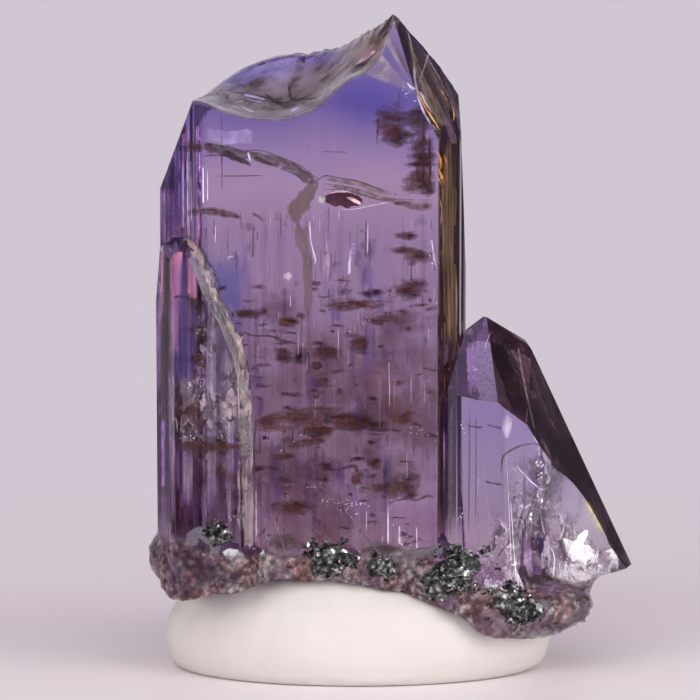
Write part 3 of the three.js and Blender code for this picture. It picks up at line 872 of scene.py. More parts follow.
films(
    "indigo_patches",
    film_material("indigo_patch", (0.030, 0.018, 0.10), (0.10, 0.070, 0.27), 0.62, (4.0, 4.0, 0.8), 0.5),
    53,
    patches=[
        ((-7.0, 13.0), 0.6, 0.8, 1.0, 0.1), ((-7.0, 12.1), 0.5, 0.8, 1.0, 0.1),
        ((-7.25, 7.9), 0.35, 1.0, 0.8, 0.1),
        ((-6.35, 6.8), 0.5, 1.6, 0.8, 0.1), ((-6.9, 18.2), 0.5, 1.6, 0.9, 0.1),
        ((-6.9, 17.3), 0.55, 1.4, 0.9, 0.1),
        ((-7.05, 20.0), 0.7, 1.1, 0.8, 0.1), ((-7.4, 14.3), 0.7, 1.8, 0.4, 0.1),
        ((-7.0, 14.9), 0.6, 1.0, 0.5, 0.1), ((5.0, 7.0), 0.5, 0.9, 0.4, 0.2),
        ((5.1, 5.2), 0.35, 1.5, 0.5, 0.1),
        ((4.9, 3.9), 0.6, 1.0, 0.5, 0.1), ((-7.4, 7.6), 0.6, 2.6, 0.5, 0.1),
        ((-7.0, 11.2), 0.6, 1.6, 0.5, 0.1),
        *indigo_uprights(),
    ],
    bands=[
        (0.12, [(-7.45, 15.3, 0.35), (-7.4, 13.0, 0.5), (-7.4, 10.5, 0.45)]),
        (0.3, [(-7.3, 15.2, 0.3), (-7.2, 13.0, 0.5), (-7.2, 10.5, 0.4)]),
        (0.12, [(-7.7, 18.6, 0.2), (-7.7, 17.2, 0.3), (-7.7, 15.7, 0.3)]),
        (0.12, [(-7.3, 20.2, 0.2), (-7.35, 18.2, 0.3), (-7.35, 16.0, 0.3)]),
    ],
    lean=0.2,
    crisp=1.8,
)


# Dark threads: hair-thin growth tubes, crack edges and specks of graphite. They grew into
# the stone, upright along its grain, or follow its cracks and the edges of its breaks.

THREADS = [
    (0.5, [(-5.95, 20.15, 0.025), (-5.95, 18.6, 0.03), (-5.95, 17.45, 0.025)]),
    (0.5, [(0.21, 20.85, 0.02), (0.21, 20.25, 0.03)]),
    (0.6, [(-3.8, 8.7, 0.03), (-3.8, 7.6, 0.03), (-3.8, 6.6, 0.03)]),
    (0.6, [(-3.8, 6.0, 0.02), (-3.8, 5.0, 0.02)]),
    (0.5, [(-6.2, 17.9, 0.015), (-5.4, 17.9, 0.02), (-4.5, 17.92, 0.015)]),
    (0.5, [(-2.55, 18.75, 0.012), (-1.6, 18.73, 0.015)]),
    (0.3, [
        (-5.3, 12.5, 0.04), (-4.9, 12.32, 0.04), (-4.3, 12.3, 0.04), (-4.0, 12.2, 0.08),
        (-3.8, 12.12, 0.06), (-3.1, 12.0, 0.03),
    ]),
    (0.3, [(-4.2, 12.5, 0.02), (-3.95, 12.2, 0.03)]),
    (0.5, [(-2.85, 11.3, 0.12), (-2.65, 11.25, 0.16), (-2.48, 11.35, 0.1)]),
    (0.4, [(-1.33, 10.56, 0.05), (-1.2, 10.6, 0.05)]),
    (0.4, [(-1.32, 10.85, 0.03), (-1.26, 10.87, 0.03)]),
    (0.4, [(-2.4, 15.2, 0.04), (-2.3, 15.2, 0.05)]),
    (0.4, [(1.0, 11.2, 0.03), (1.4, 11.1, 0.04), (1.6, 11.08, 0.02)]),
    (0.25, [
        (-2.75, 17.62, 0.03), (-2.4, 17.9, 0.03), (-1.9, 17.84, 0.02), (-1.2, 17.72, 0.03),
        (-0.6, 17.5, 0.03), (0.3, 17.2, 0.02),
    ]),
    (0.25, [
        (-2.5, 17.45, 0.02), (-1.6, 17.38, 0.03), (-0.8, 17.16, 0.03), (-0.1, 17.03, 0.03),
        (1.4, 16.98, 0.02),
    ]),
    (0.25, [
        (-6.7, 19.05, 0.03), (-6.1, 19.1, 0.03), (-5.4, 18.82, 0.02), (-4.6, 18.78, 0.02),
        (-3.9, 18.55, 0.03), (-3.2, 18.25, 0.03), (-2.7, 17.85, 0.03),
    ]),
    (0.25, [(-6.6, 18.6, 0.03), (-6.0, 18.62, 0.03), (-5.6, 18.5, 0.02)]),
    (0.25, [(-5.97, 18.78, 0.05), (-5.62, 18.64, 0.12), (-5.13, 18.39, 0.09), (-4.92, 18.25, 0.02)]),
    (0.25, [(-4.85, 18.57, 0.06), (-4.57, 18.46, 0.12), (-4.15, 18.29, 0.06), (-3.94, 18.22, 0.02)]),
    (0.25, [(-6.64, 18.96, 0.1), (-6.32, 18.89, 0.16), (-6.08, 18.81, 0.05)]),
    (0.25, [(-3.38, 18.29, 0.03), (-3.03, 18.01, 0.05), (-2.71, 17.72, 0.04)]),
    (0.25, [(-4.0, 18.2, 0.02), (-3.4, 17.95, 0.03), (-3.0, 17.6, 0.03)]),
    (0.4, [(-4.8, 9.35, 0.04), (-4.85, 8.3, 0.04), (-4.83, 7.2, 0.03)]),
    (0.2, [
        (3.83, 7.3, 0.03), (3.87, 8.0, 0.04), (4.25, 8.33, 0.05), (4.85, 8.5, 0.04),
        (5.27, 8.33, 0.04), (5.8, 7.4, 0.05),
    ]),
    (0.3, [(4.7, 8.0, 0.05), (5.1, 7.4, 0.12), (5.4, 6.9, 0.06)]),
    (0.3, [(4.6, 6.8, 0.06), (5.0, 6.6, 0.05), (5.3, 6.65, 0.02)]),
    (0.3, [(5.15, 6.4, 0.05), (5.25, 5.6, 0.12), (5.3, 5.0, 0.06)]),
    (0.3, [(3.6, 4.3, 0.03), (4.0, 4.9, 0.04), (4.5, 5.4, 0.04), (4.9, 5.45, 0.02)]),
    (0.2, [(2.6, 9.16, 0.02), (3.0, 9.08, 0.04), (3.15, 9.1, 0.02)]),
    (0.2, [(3.3, 9.18, 0.02), (3.6, 9.1, 0.05), (3.85, 9.05, 0.02)]),
    (0.2, [(3.2, 7.2, 0.02), (3.5, 7.1, 0.05), (3.9, 7.05, 0.02)]),
    (0.3, [(2.15, 10.0, 0.07), (2.13, 8.0, 0.1), (2.1, 5.0, 0.09)]),
    (0.3, [(2.72, 9.7, 0.03), (2.72, 7.5, 0.04), (2.7, 5.0, 0.02)]),
    (0.3, [(2.95, 9.6, 0.02), (2.95, 8.0, 0.03), (2.95, 5.5, 0.02)]),
    (0.3, [(6.0, 5.3, 0.05), (5.85, 4.5, 0.06), (6.3, 4.1, 0.03)]),
    (0.06, [
        (-6.64, 20.57, 0.03), (-6.32, 20.68, 0.12), (-5.97, 20.65, 0.2), (-5.73, 20.43, 0.16),
        (-5.59, 20.22, 0.05),
    ]),
    (0.06, [(-6.25, 20.86, 0.05), (-5.97, 20.72, 0.14), (-5.69, 20.61, 0.08)]),
    (0.06, [
        (-6.15, 20.89, 0.03), (-5.62, 20.82, 0.02), (-5.10, 20.72, 0.025), (-4.57, 20.65, 0.025),
        (-4.22, 20.54, 0.04), (-3.83, 20.33, 0.05), (-3.49, 20.19, 0.03),
    ]),
    (0.06, [
        (-3.62, 21.21, 0.03), (-3.59, 20.86, 0.05), (-3.52, 20.57, 0.05), (-3.14, 20.54, 0.03),
        (-2.54, 20.61, 0.04),
    ]),
    (0.06, [(-3.14, 20.40, 0.06), (-2.82, 20.36, 0.09), (-2.50, 20.47, 0.05)]),
    (0.06, [(-5.66, 20.26, 0.04), (-5.13, 20.08, 0.03), (-4.57, 20.01, 0.02)]),
    (0.06, [(-4.50, 20.79, 0.02), (-4.08, 20.50, 0.03), (-3.59, 20.40, 0.02)]),
    (0.06, [(-3.77, 22.02, 0.03), (-3.49, 22.07, 0.06), (-3.03, 22.09, 0.07), (-2.79, 22.02, 0.03)]),
    (0.06, [(-3.17, 21.98, 0.05), (-3.07, 21.81, 0.04)]),
    (0.06, [(-4.68, 21.74, 0.03), (-4.40, 21.81, 0.04)]),
    (0.06, [(-1.39, 21.70, 0.03), (-1.14, 21.74, 0.08), (-0.93, 21.81, 0.03)]),
    (0.06, [(-0.51, 22.79, 0.04), (-0.30, 23.00, 0.09), (-0.09, 23.25, 0.12), (0.05, 23.46, 0.06)]),
    (0.06, [(-0.37, 22.65, 0.03), (-0.16, 22.93, 0.05), (0.02, 23.21, 0.05)]),
    (0.06, [(0.02, 22.58, 0.05), (0.19, 22.16, 0.08), (0.40, 21.74, 0.09), (0.61, 21.31, 0.04)]),
    (0.06, [(0.09, 23.14, 0.07), (0.12, 22.97, 0.08)]),
    (0.06, [
        (0.72, 22.62, 0.05), (0.89, 22.02, 0.11), (1.31, 21.14, 0.12), (1.66, 20.40, 0.12),
        (1.94, 19.80, 0.08),
    ]),
    (0.06, [
        (0.86, 22.55, 0.03), (1.31, 22.09, 0.06), (1.80, 21.38, 0.09), (2.15, 20.72, 0.12),
        (2.22, 20.19, 0.06),
    ]),
    (0.06, [(0.40, 23.07, 0.03), (0.65, 22.30, 0.05), (0.72, 21.67, 0.05)]),
]

films(
    "dark_threads",
    film_material(
        "dark_thread", (0.016, 0.007, 0.010), (0.085, 0.040, 0.042), 0.85, (3.0, 3.0, 3.0), 0.5, 2.6,
    ),
    61,
    bands=[*THREADS, *hair_bands(79, 220, 0.006, 0.016, 1.1)],
    crisp=6.0,
)
films(
    "eye_bubble",
    film_material(
        "eye_bubble", (0.014, 0.005, 0.010), (0.075, 0.025, 0.045), 0.98, (3.0, 3.0, 7.0), 0.25, 5.0,
    ),
    67,
    bands=[(0.3, [
        (-2.4, 17.05, 0.08), (-2.08, 17.1, 0.26), (-1.67, 17.07, 0.31), (-1.3, 17.04, 0.25),
        (-1.0, 17.0, 0.07),
    ])],
    crisp=6.0,
)


# Light edges: the lips of cracks, groove crests and flakes of clear mica-like break that
# catch the lamps and show as bright hairs and points.

LIGHT_EDGES = [
    (0.15, [(-2.9, 16.4, 0.02), (-2.85, 15.6, 0.025), (-2.7, 15.0, 0.03), (-2.75, 14.8, 0.02)]),
    (0.3, [(-1.45, 15.4, 0.04), (-1.5, 14.9, 0.05), (-1.52, 14.45, 0.06)]),
    (0.1, [(1.35, 15.7, 0.02), (1.42, 15.2, 0.04), (1.5, 14.7, 0.03)]),
    (0.15, [(-2.1, 17.36, 0.015), (-1.7, 17.38, 0.02), (-1.4, 17.3, 0.015)]),
    (0.2, [(-1.9, 16.76, 0.015), (-1.4, 16.74, 0.02), (-0.6, 16.9, 0.02), (0.0, 17.0, 0.01)]),
    (0.1, [(-5.05, 18.75, 0.03), (-4.95, 18.4, 0.04)]),
    (0.1, [(-7.3, 18.5, 0.015), (-7.3, 16.0, 0.02)]),
    (0.1, [(-7.13, 18.5, 0.012), (-7.13, 16.0, 0.015)]),
    (0.1, [(-7.0, 18.4, 0.012), (-7.0, 16.2, 0.015)]),
    (0.25, [(-6.6, 18.3, 0.02), (-6.6, 16.9, 0.03)]),
    (0.25, [(-6.45, 18.2, 0.015), (-6.45, 17.0, 0.02)]),
    (0.2, [(-0.15, 6.4, 0.02), (-0.15, 4.8, 0.04)]),
    (0.2, [(0.25, 5.6, 0.02), (0.25, 4.9, 0.05)]),
    (0.2, [(0.85, 5.6, 0.012), (0.87, 4.7, 0.03)]),
    (0.2, [(-4.8, 7.0, 0.02), (-4.78, 5.2, 0.03)]),
    (0.08, [(4.33, 12.2, 0.03), (4.54, 10.95, 0.035), (4.75, 9.94, 0.03), (5.0, 8.9, 0.03)]),
    (0.08, [(3.45, 12.5, 0.02), (3.2, 11.8, 0.02)]),
    (0.05, [(-5.17, 20.72, 0.03), (-4.96, 20.66, 0.06), (-4.68, 20.61, 0.05), (-4.43, 20.54, 0.02)]),
    (0.05, [(-5.13, 20.59, 0.015), (-4.78, 20.50, 0.02), (-4.43, 20.43, 0.015)]),
    (0.05, [(-3.59, 20.15, 0.03), (-3.42, 20.19, 0.06), (-3.28, 20.29, 0.03)]),
    (0.05, [(-5.27, 20.33, 0.02), (-5.06, 20.19, 0.04), (-4.78, 20.10, 0.02)]),
    (0.05, [(-5.52, 20.40, 0.01), (-5.20, 20.50, 0.02)]),
    (0.05, [
        (0.37, 23.18, 0.015), (0.58, 22.65, 0.03), (0.72, 21.81, 0.035), (0.79, 21.03, 0.05),
        (1.07, 20.12, 0.04), (1.52, 19.45, 0.03),
    ]),
    (0.05, [(0.89, 20.89, 0.03), (1.14, 20.47, 0.09), (1.45, 19.98, 0.04)]),
    (0.05, [(0.47, 21.14, 0.03), (0.65, 20.96, 0.05), (0.82, 20.93, 0.03)]),
    (0.05, [(1.00, 22.30, 0.01), (1.52, 21.45, 0.025), (1.94, 20.61, 0.02)]),
    (0.3, [(5.1, 6.3, 0.01), (5.3, 5.2, 0.02), (5.65, 4.4, 0.025), (5.5, 3.3, 0.01)]),
    (0.15, [(5.7, 6.3, 0.01), (6.0, 5.6, 0.025), (5.8, 5.0, 0.015)]),
    (0.15, [(4.3, 7.8, 0.01), (4.7, 7.3, 0.015), (5.2, 6.9, 0.02), (5.45, 7.0, 0.01)]),
]

films(
    "light_edges",
    film_material(
        "light_edge", (0.55, 0.50, 0.60), (0.95, 0.92, 0.97), 0.75, (4.0, 4.0, 3.0), 0.25, 2.6,
    ),
    71,
    bands=[*LIGHT_EDGES, *hair_bands(83, 80, 0.006, 0.012, 1.3)],
    crisp=4.0,
)


# Crazing: the side crystal's foot, the thin prism and its sloping edge are shattered into
# small plates, some clear, some light, some dark, each with a thin outline, dark in places and bright where
# glints are painted.

def crazing():
    """The plates of a crazed sheet: a chance value for each, and how near its outline is."""
    group, given, told = new_group("crazing", {"Per mm": "Vector"}, {"Plate": "Float", "Outline": "Float"})
    place = node(group, "ShaderNodeTexCoord")
    in_mm = node(group, "ShaderNodeVectorMath", place.outputs["Object"], operation="SCALE", Scale=PER_METRE)
    drawn = node(group, "ShaderNodeVectorMath", in_mm.outputs[0], given["Per mm"], operation="MULTIPLY")
    ripple = node(group, "ShaderNodeTexNoise", drawn.outputs[0], Scale=1.3, Detail=4.0)
    swung = node(group, "ShaderNodeVectorMath", ripple.outputs["Color"], operation="SCALE", Scale=1.6)
    bent = node(group, "ShaderNodeVectorMath", drawn.outputs[0], swung.outputs[0], operation="ADD")
    plates = node(group, "ShaderNodeTexVoronoi", bent.outputs[0], feature="F1", Scale=1.0)
    edges = node(group, "ShaderNodeTexVoronoi", bent.outputs[0], feature="DISTANCE_TO_EDGE", Scale=1.0)
    feed(told["Plate"], node(group, "ShaderNodeSeparateColor", plates.outputs["Color"]).outputs[0])
    feed(told["Outline"], rise(Value(edges.outputs["Distance"]), 0.075, 0.02))
    return group


CRAZING = crazing()


def crazed_material(name, per_mm, cover, tone=(1, 1, 1)):
    material, tree, shader = new_material(name)
    fade = marked(tree, "fade")
    plates = node(tree, "ShaderNodeGroup", per_mm, node_tree=CRAZING).outputs
    plate, outline = Value(plates["Plate"]), Value(plates["Outline"])
    fine = grain(tree, (4.0, 4.0, 3.0), 4.0)
    colour = ramp(plate + (fine - 0.5) * 0.8, [
        (0.12, (0.035, 0.02, 0.026)),
        (0.34, (0.16, 0.12, 0.15)),
        (0.62, (0.38, 0.32, 0.35)),
        (0.88, (0.74, 0.70, 0.72)),
    ])
    # An outline is dark in places and light in others; the light parts are painted glints.
    dark_lip_bright_glint = grain(tree, (2.2, 2.2, 2.2), 3.0)
    dark_lip_bright_glint = ramp(dark_lip_bright_glint, [(0.46, (0.03, 0.018, 0.020)), (0.60, (0.78, 0.75, 0.78))])
    feed(shader.inputs["Base Color"], blend(1.0, blend(outline, colour, dark_lip_bright_glint), tone, "MULTIPLY"))
    shown = larger(rise(plate, 0.30, 0.05), rise(plate, 0.66, 0.95))
    shown = (shown + 0.25) * rise(fine, 0.30, 0.50)
    shown = larger(shown, outline * 0.85)
    worn = fade * rise(grain(tree, (0.9, 0.9, 0.7), 3.0), 0.30, 0.46)
    feed(shader.inputs["Alpha"], shown * worn * cover)
    shader.inputs["Roughness"].default_value = 0.2
    return material


films(
    "crazed_foot",
    crazed_material("crazed_foot", (1.7, 1.7, 0.95), 0.85),
    127,
    patches=[
        ((5.3, 5.3), 3.2, 4.8, 0.5, 0.1), ((5.6, 4.7), 3.0, 3.4, 1.2, -0.2),
        ((4.8, 6.6), 2.0, 3.2, 0.8, 0.2),
        ((6.9, 4.5), 1.8, 1.6, 0.35, 0.0), ((4.1, 4.9), 2.2, 2.8, 0.6, 0.1),
        ((4.6, 5.6), 2.4, 4.6, 1.5, 0.0), ((-7.0, 10.0), 1.5, 3.6, 0.5, 0.1),
        ((-6.2, 9.0), 1.6, 3.0, 0.9, -0.1), ((-6.6, 12.4), 1.2, 2.2, 0.6, 0.1),
        ((-5.7, 10.2), 0.8, 3.4, 0.4, 0.0),
    ],
)
films(
    "crazed_edge",
    crazed_material("crazed_edge", (3.0, 3.0, 2.0), 0.92, (0.60, 0.49, 0.46)),
    131,
    bands=[(0.08, SLOPING_EDGE), (0.2, SLOPING_EDGE)],
    lean=0.2,
    crisp=3.0,
)


# Warm gleams: thin gaps in the tip's right facet, at the head of the long side face and
# round the dark bubble, which split the lamps' light into gold, rose and rainbow flashes,
# painted here as coloured films; the gold and rose ones also glow.

def gleam_material(name, stops, glow):
    material, tree, shader = new_material(name)
    broken = marked(tree, "fade") + grain(tree, (5.0, 5.0, 3.0), 4.0)
    feed(shader.inputs["Alpha"], held((broken - 0.85) * 2.5))
    hue = ramp(grain(tree, (3.0, 3.0, 3.0), 2.0), stops)
    feed(shader.inputs["Base Color"], hue)
    # Painted flashes: the hue is their colour and, where the glow is above nought, a light of their own.
    feed(shader.inputs["Emission Color"], hue)
    shader.inputs["Emission Strength"].default_value = glow
    shader.inputs["Roughness"].default_value = 0.25
    return material


GOLD_GLEAMS = [
    (0.04, [(0.86, 20.79, 0.015), (1.07, 20.36, 0.03), (1.35, 19.91, 0.03), (1.66, 19.45, 0.015)]),
    (0.04, [(1.66, 20.89, 0.015), (1.77, 20.72, 0.035), (1.91, 20.47, 0.015)]),
    (0.04, [(1.21, 20.19, 0.01), (1.42, 19.84, 0.02), (1.56, 19.55, 0.03)]),
    (0.04, [(1.56, 18.74, 0.03), (1.66, 18.39, 0.05), (1.63, 18.08, 0.02)]),
    (0.04, [(1.59, 18.15, 0.02), (1.70, 17.86, 0.06), (1.77, 17.58, 0.02)]),
    (0.04, [(1.77, 18.67, 0.02), (1.91, 18.15, 0.02), (1.87, 17.72, 0.02)]),
    (0.04, [(2.01, 20.50, 0.01), (2.12, 20.05, 0.02), (2.08, 19.77, 0.01)]),
]
ROSE_GLEAMS = [
    (0.05, [(-1.28, 21.77, 0.02), (-1.07, 21.91, 0.07), (-0.82, 22.09, 0.08), (-0.58, 22.26, 0.03)]),
    (0.2, [(-1.63, 17.16, 0.03), (-1.42, 17.09, 0.07), (-1.21, 16.98, 0.07), (-1.10, 16.91, 0.02)]),
    (0.2, [(-2.29, 17.27, 0.01), (-1.98, 17.34, 0.025), (-1.67, 17.34, 0.01)]),
    (0.2, [(-1.98, 16.91, 0.01), (-1.67, 16.81, 0.02), (-1.39, 16.84, 0.01)]),
    (0.04, [(1.56, 17.86, 0.02), (1.70, 17.58, 0.04), (1.80, 17.27, 0.02)]),
    (0.04, [(1.59, 17.23, 0.01), (1.70, 16.74, 0.02), (1.66, 16.21, 0.01)]),
]
films(
    "gold_gleams",
    gleam_material("gold_gleam", [(0.4, (0.75, 0.30, 0.05)), (0.6, (1.0, 0.70, 0.28))], 0.28),
    107,
    bands=GOLD_GLEAMS,
    crisp=2.5,
)
films(
    "rose_gleams",
    gleam_material("rose_gleam", [(0.4, (0.45, 0.24, 0.24)), (0.6, (0.85, 0.60, 0.58))], 0.08),
    109,
    bands=ROSE_GLEAMS,
    crisp=2.5,
)
films(
    "rainbow_break",
    gleam_material("rainbow_break", [
        (0.36, (0.10, 0.15, 0.50)), (0.46, (0.32, 0.42, 0.48)),
        (0.54, (0.48, 0.40, 0.15)), (0.62, (0.42, 0.16, 0.22)),
    ], 0.0),
    113,
    patches=[((-2.5, 17.1), 0.36, 0.3, 0.25, 0.3), ((1.57, 21.15), 0.16, 0.3, 0.08, 0.1)],
)


# The scooped break: the shell-like hollow of the broken top is fine-ripped and hazy, so
# it shows paler than the clear faces, yellow-grey low down and lilac-blue towards its crest.

HAZE_DEPTH = 0.10  # mm under the broken face


def scoop_haze():
    bm = bmesh.new()
    bm.from_mesh(crystal.data)
    bmesh.ops.remove_doubles(bm, verts=bm.verts, dist=WELD)
    bm.normal_update()

    def hollow(face):
        x, y, z = face.calc_center_median() / MM
        upward = face.normal.z > 0.15 and face.normal.y < 0.12
        return face.calc_area() < SMALL_FACE and z > 19.0 and x < 0.2 and upward

    bmesh.ops.delete(bm, geom=[f for f in bm.faces if not hollow(f)], context="FACES")
    fade = bm.verts.layers.float.new("fade")
    for vert in bm.verts:
        vert[fade] = 0.4 if any(edge.is_boundary for edge in vert.link_edges) else 1.0
    for vert in bm.verts:
        vert.co -= vert.normal * HAZE_DEPTH * MM
    for face in bm.faces:
        face.smooth = True
    return add_mesh("scoop_haze", bm)


def scoop_material():
    material, tree, shader = new_material("scoop_haze")
    x, y, z = axes_in_mm(tree)
    streaks = grain(tree, (1.4, 1.0, 2.2), 4.0, (0, math.radians(35), 0))
    level = z + streaks * 1.2 - (x + 4.5) * 0.25
    low = ramp(streaks, [(0.38, (0.23, 0.18, 0.115)), (0.60, (0.48, 0.41, 0.32))])
    high = ramp(streaks, [(0.38, (0.21, 0.17, 0.42)), (0.60, (0.44, 0.38, 0.58))])
    shade = blend(rise(level, 21.35, 22.0), low, high)
    feed(shader.inputs["Base Color"], blend(rise(x, -2.4, -1.2), shade, low))
    cover = rise(streaks, 0.30, 0.55) * 0.35 + 0.42
    feed(shader.inputs["Alpha"], cover * marked(tree, "fade"))
    shader.inputs["Roughness"].default_value = 0.35
    return material


scoop = scoop_haze()
scoop.data.materials.append(scoop_material())
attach(scoop, "root")


# Silvery breaks: curved cracks that still hold air, which mirror the room like crumpled
# foil. They fill the side crystal's clear foot and craze the thin prism and its edge.

def break_sheet(bm, fade, tint, place, size, depth, dice, rows=26):
    """A crumpled sheet of crack, with a ragged outline."""
    (x, z), (width, height) = place, size
    centre = inside(x, z, depth)
    wave = dice.uniform(0, 90)
    grid = []
    for j in range(rows + 1):
        v = j / rows * 2 - 1
        for i in range(rows + 1):
            u = i / rows * 2 - 1
            at = Vector((u * width * 0.9 + wave, v * height * 0.9, wave * 0.3))
            crumple = 0.34 * noise.noise(at * 1.3) + 0.12 * noise.noise(at * 3.4)
            ragged = 1 + 0.3 * noise.noise(at * 0.9)
            shift = Vector((u * width / 2 * ragged, crumple, v * height / 2 * ragged))
            vert = bm.verts.new((centre + shift) * MM)
            vert[fade] = max(0.0, 1 - (u * u + v * v)) ** 0.6
            vert[tint] = wave % 1.0
            grid.append(vert)
    weave(bm, grid, rows + 1)


def silvery_breaks():
    places = [
        ((5.0, 6.3), (1.5, 2.6), 0.45), ((5.7, 4.9), (1.5, 1.7), 0.4), ((6.3, 5.6), (0.9, 1.6), 0.35),
        ((4.3, 4.6), (1.4, 1.5), 0.45), ((4.9, 7.6), (1.3, 1.2), 0.45), ((5.5, 3.6), (1.5, 0.8), 0.4),
        ((7.1, 4.6), (1.1, 0.8), 0.35), ((-7.15, 10.4), (0.8, 0.9), 0.5), ((-6.3, 10.2), (0.8, 0.5), 0.5),
        ((-5.65, 9.9), (0.5, 1.2), 0.4), ((-7.2, 8.5), (0.5, 0.8), 0.5), ((-5.9, 8.9), (0.7, 0.7), 0.5),
        ((-6.6, 14.6), (0.5, 0.9), 0.3), ((-6.1, 13.7), (0.5, 0.9), 0.3), ((-5.6, 12.7), (0.5, 0.9), 0.3),
        ((-2.9, 17.3), (0.5, 0.9), 0.35),
    ]
    bm, fade, tint = marked_mesh()
    dice = random.Random(97)
    for place, size, depth in places:
        break_sheet(bm, fade, tint, place, size, depth, dice)
    keep_inside(bm)
    return add_mesh("silvery_breaks", bm)


def silvery_material():
    material, tree, shader = new_material("silvery_break")
    fade = marked(tree, "fade")
    cover = held((grain(tree, (1.6, 1.6, 1.1), 4.0) * 1.6 + fade * 0.6 - 1.12) * 3.0)
    feed(shader.inputs["Alpha"], cover * held(fade * 2.0) * 0.62)
    shader.inputs["Base Color"].default_value = (0.86, 0.82, 0.88, 1)
    shader.inputs["Metallic"].default_value = 1.0
    shader.inputs["Roughness"].default_value = 0.14
    return material


breaks = silvery_breaks()
breaks.data.materials.append(silvery_material())
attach(breaks, "root")


# Glow: the hollow of the side crystal's broken corner gathers the lamp into one hot spot,
# painted here as a pale film that glows, and a little of the slanting face beside it shows olive yellow.

def glow_material():
    material, tree, shader = new_material("hollow_glow")
    soft = marked(tree, "fade") + grain(tree, (3.5, 3.5, 2.0), 5.0) * 2.2
    feed(shader.inputs["Alpha"], held((soft - 1.45) * 2.2))
    shader.inputs["Base Color"].default_value = (0.95, 0.93, 0.90, 1)
    shader.inputs["Roughness"].default_value = 0.4
    # The hot spot is a painted highlight: the film glows of itself.
    shader.inputs["Emission Color"].default_value = (1.0, 0.97, 0.92, 1)
    shader.inputs["Emission Strength"].default_value = 0.7
    return material


films(
    "hollow_glow",
    glow_material(),
    101,
    bands=[(0.05, [(6.25, 4.62, 0.04), (6.42, 4.86, 0.17), (6.66, 5.16, 0.19), (6.86, 5.42, 0.06)])],
    lean=0.0,
    crisp=2.2,
)
films(
    "olive_gleam",
    film_material("olive_gleam", (0.16, 0.13, 0.02), (0.42, 0.38, 0.08), 0.75, (3.0, 3.0, 3.0), 0.4, 2.5),
    103,
    bands=[(0.05, [(6.7, 6.65, 0.05), (6.98, 6.15, 0.16), (7.3, 5.6, 0.12), (7.45, 5.3, 0.04)])],
    lean=0.0,
    crisp=2.0,
)


# Points of light: tiny specks of mica-like break in the stone, each no larger than a grain
# of dust, that flash where they face a lamp and also glow a little, as painted light. They lie in strings
# and nests.

def add_flake(bm, centre, across, radius, thickness, dice):
    """A small six-sided plate."""
    turn = across.to_track_quat("Z", "Y").to_matrix() @ Matrix.Rotation(dice.uniform(0, 6.3), 3, "Z")
    sides = [radius * dice.uniform(0.7, 1.15) for _ in range(6)]
    rings = []
    for level in (-0.5, 0.5):
        ring = []
        for k, reach in enumerate(sides):
            a = math.pi / 3 * k
            corner = Vector((reach * math.cos(a), reach * math.sin(a), thickness * level))
            ring.append(bm.verts.new(centre + turn @ corner))
        rings.append(ring)
    bm.faces.new(list(reversed(rings[0])))
    bm.faces.new(rings[1])
    for k in range(6):
        bm.faces.new((rings[0][k], rings[0][k - 5], rings[1][k - 5], rings[1][k]))


SPECK_RADII = (0.007, 0.024)  # mm
SPECK_THICKNESS = 0.006  # mm
SPECK_DEPTHS = (0.08, 0.5)  # mm
# Each string: x and z of both ends, how far its points stray, and how many there are.
SPARKLES = [
    ((-3.0, 6.9), (-2.4, 7.1), 0.08, 9), ((-2.6, 6.5), (-1.0, 6.35), 0.12, 26),
    ((-2.0, 6.2), (-0.8, 6.2), 0.25, 16),
    ((-5.8, 15.1), (-5.4, 15.0), 0.1, 8), ((-7.2, 10.6), (-6.3, 10.7), 0.15, 14),
    ((-7.3, 8.4), (-7.0, 8.8), 0.2, 8),
    ((1.3, 15.6), (1.5, 13.2), 0.06, 14), ((0.6, 9.0), (1.5, 8.6), 0.3, 12),
    ((-1.5, 12.5), (-0.8, 12.8), 0.15, 6),
    ((-5.9, 9.2), (-5.3, 10.3), 0.2, 10), ((-3.9, 8.3), (-3.1, 9.0), 0.3, 7),
    ((0.0, 5.6), (0.7, 4.7), 0.25, 12),
    ((2.3, 9.4), (2.6, 8.8), 0.05, 5), ((2.6, 10.8), (3.0, 11.2), 0.1, 5),
    ((2.45, 6.3), (2.5, 4.8), 0.1, 8),
    ((5.0, 6.0), (5.7, 4.0), 0.35, 16), ((-1.2, 15.8), (-1.4, 15.0), 0.1, 5),
    ((-6.6, 14.4), (-5.3, 11.8), 0.15, 22),
    ((-4.9, 20.2), (-3.4, 20.2), 0.08, 14), ((0.4, 20.8), (1.0, 20.3), 0.12, 10),
    ((-6.5, 5.3), (-5.6, 5.9), 0.2, 12),
]


def sparkle_material():
    material, tree, shader = new_material("sparkle")
    shader.inputs["Base Color"].default_value = (0.95, 0.94, 0.97, 1)
    shader.inputs["Roughness"].default_value = 0.2
    # The specks glow a little of themselves: part of their flash is painted light.
    shader.inputs["Emission Color"].default_value = (1, 0.98, 1, 1)
    shader.inputs["Emission Strength"].default_value = 0.35
    return material


def sparkles():
    dice = random.Random(73)
    bm = bmesh.new()
    for start, end, stray, count in SPARKLES:
        for _ in range(count):
            t = dice.random()
            x = start[0] + (end[0] - start[0]) * t + dice.gauss(0, stray * 0.6)
            z = start[1] + (end[1] - start[1]) * t + dice.gauss(0, stray * 0.6)
            facing = Vector((dice.gauss(0, 0.6), -1, dice.gauss(0.3, 0.6))).normalized()
            radius = dice.uniform(*SPECK_RADII) * MM
            spot = inside(x, z, dice.uniform(*SPECK_DEPTHS)) * MM
            add_flake(bm, spot, facing, radius, SPECK_THICKNESS * MM, dice)
    return add_mesh("sparkles", bm)


points_of_light = sparkles()
points_of_light.data.materials.append(sparkle_material())
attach(points_of_light, "root")


# Graphite: low crusts of thin dark plates, each a tiny six-sided flake with a metal-like
# shine, that grew in tufts on the root and stray over the stone around them.

FLAKE_RADII = (0.025, 0.10)  # mm
FLAKE_THICKNESS = 0.012  # mm
FLAKE_LIFT = 0.10  # mm: the highest one stands on others by this much
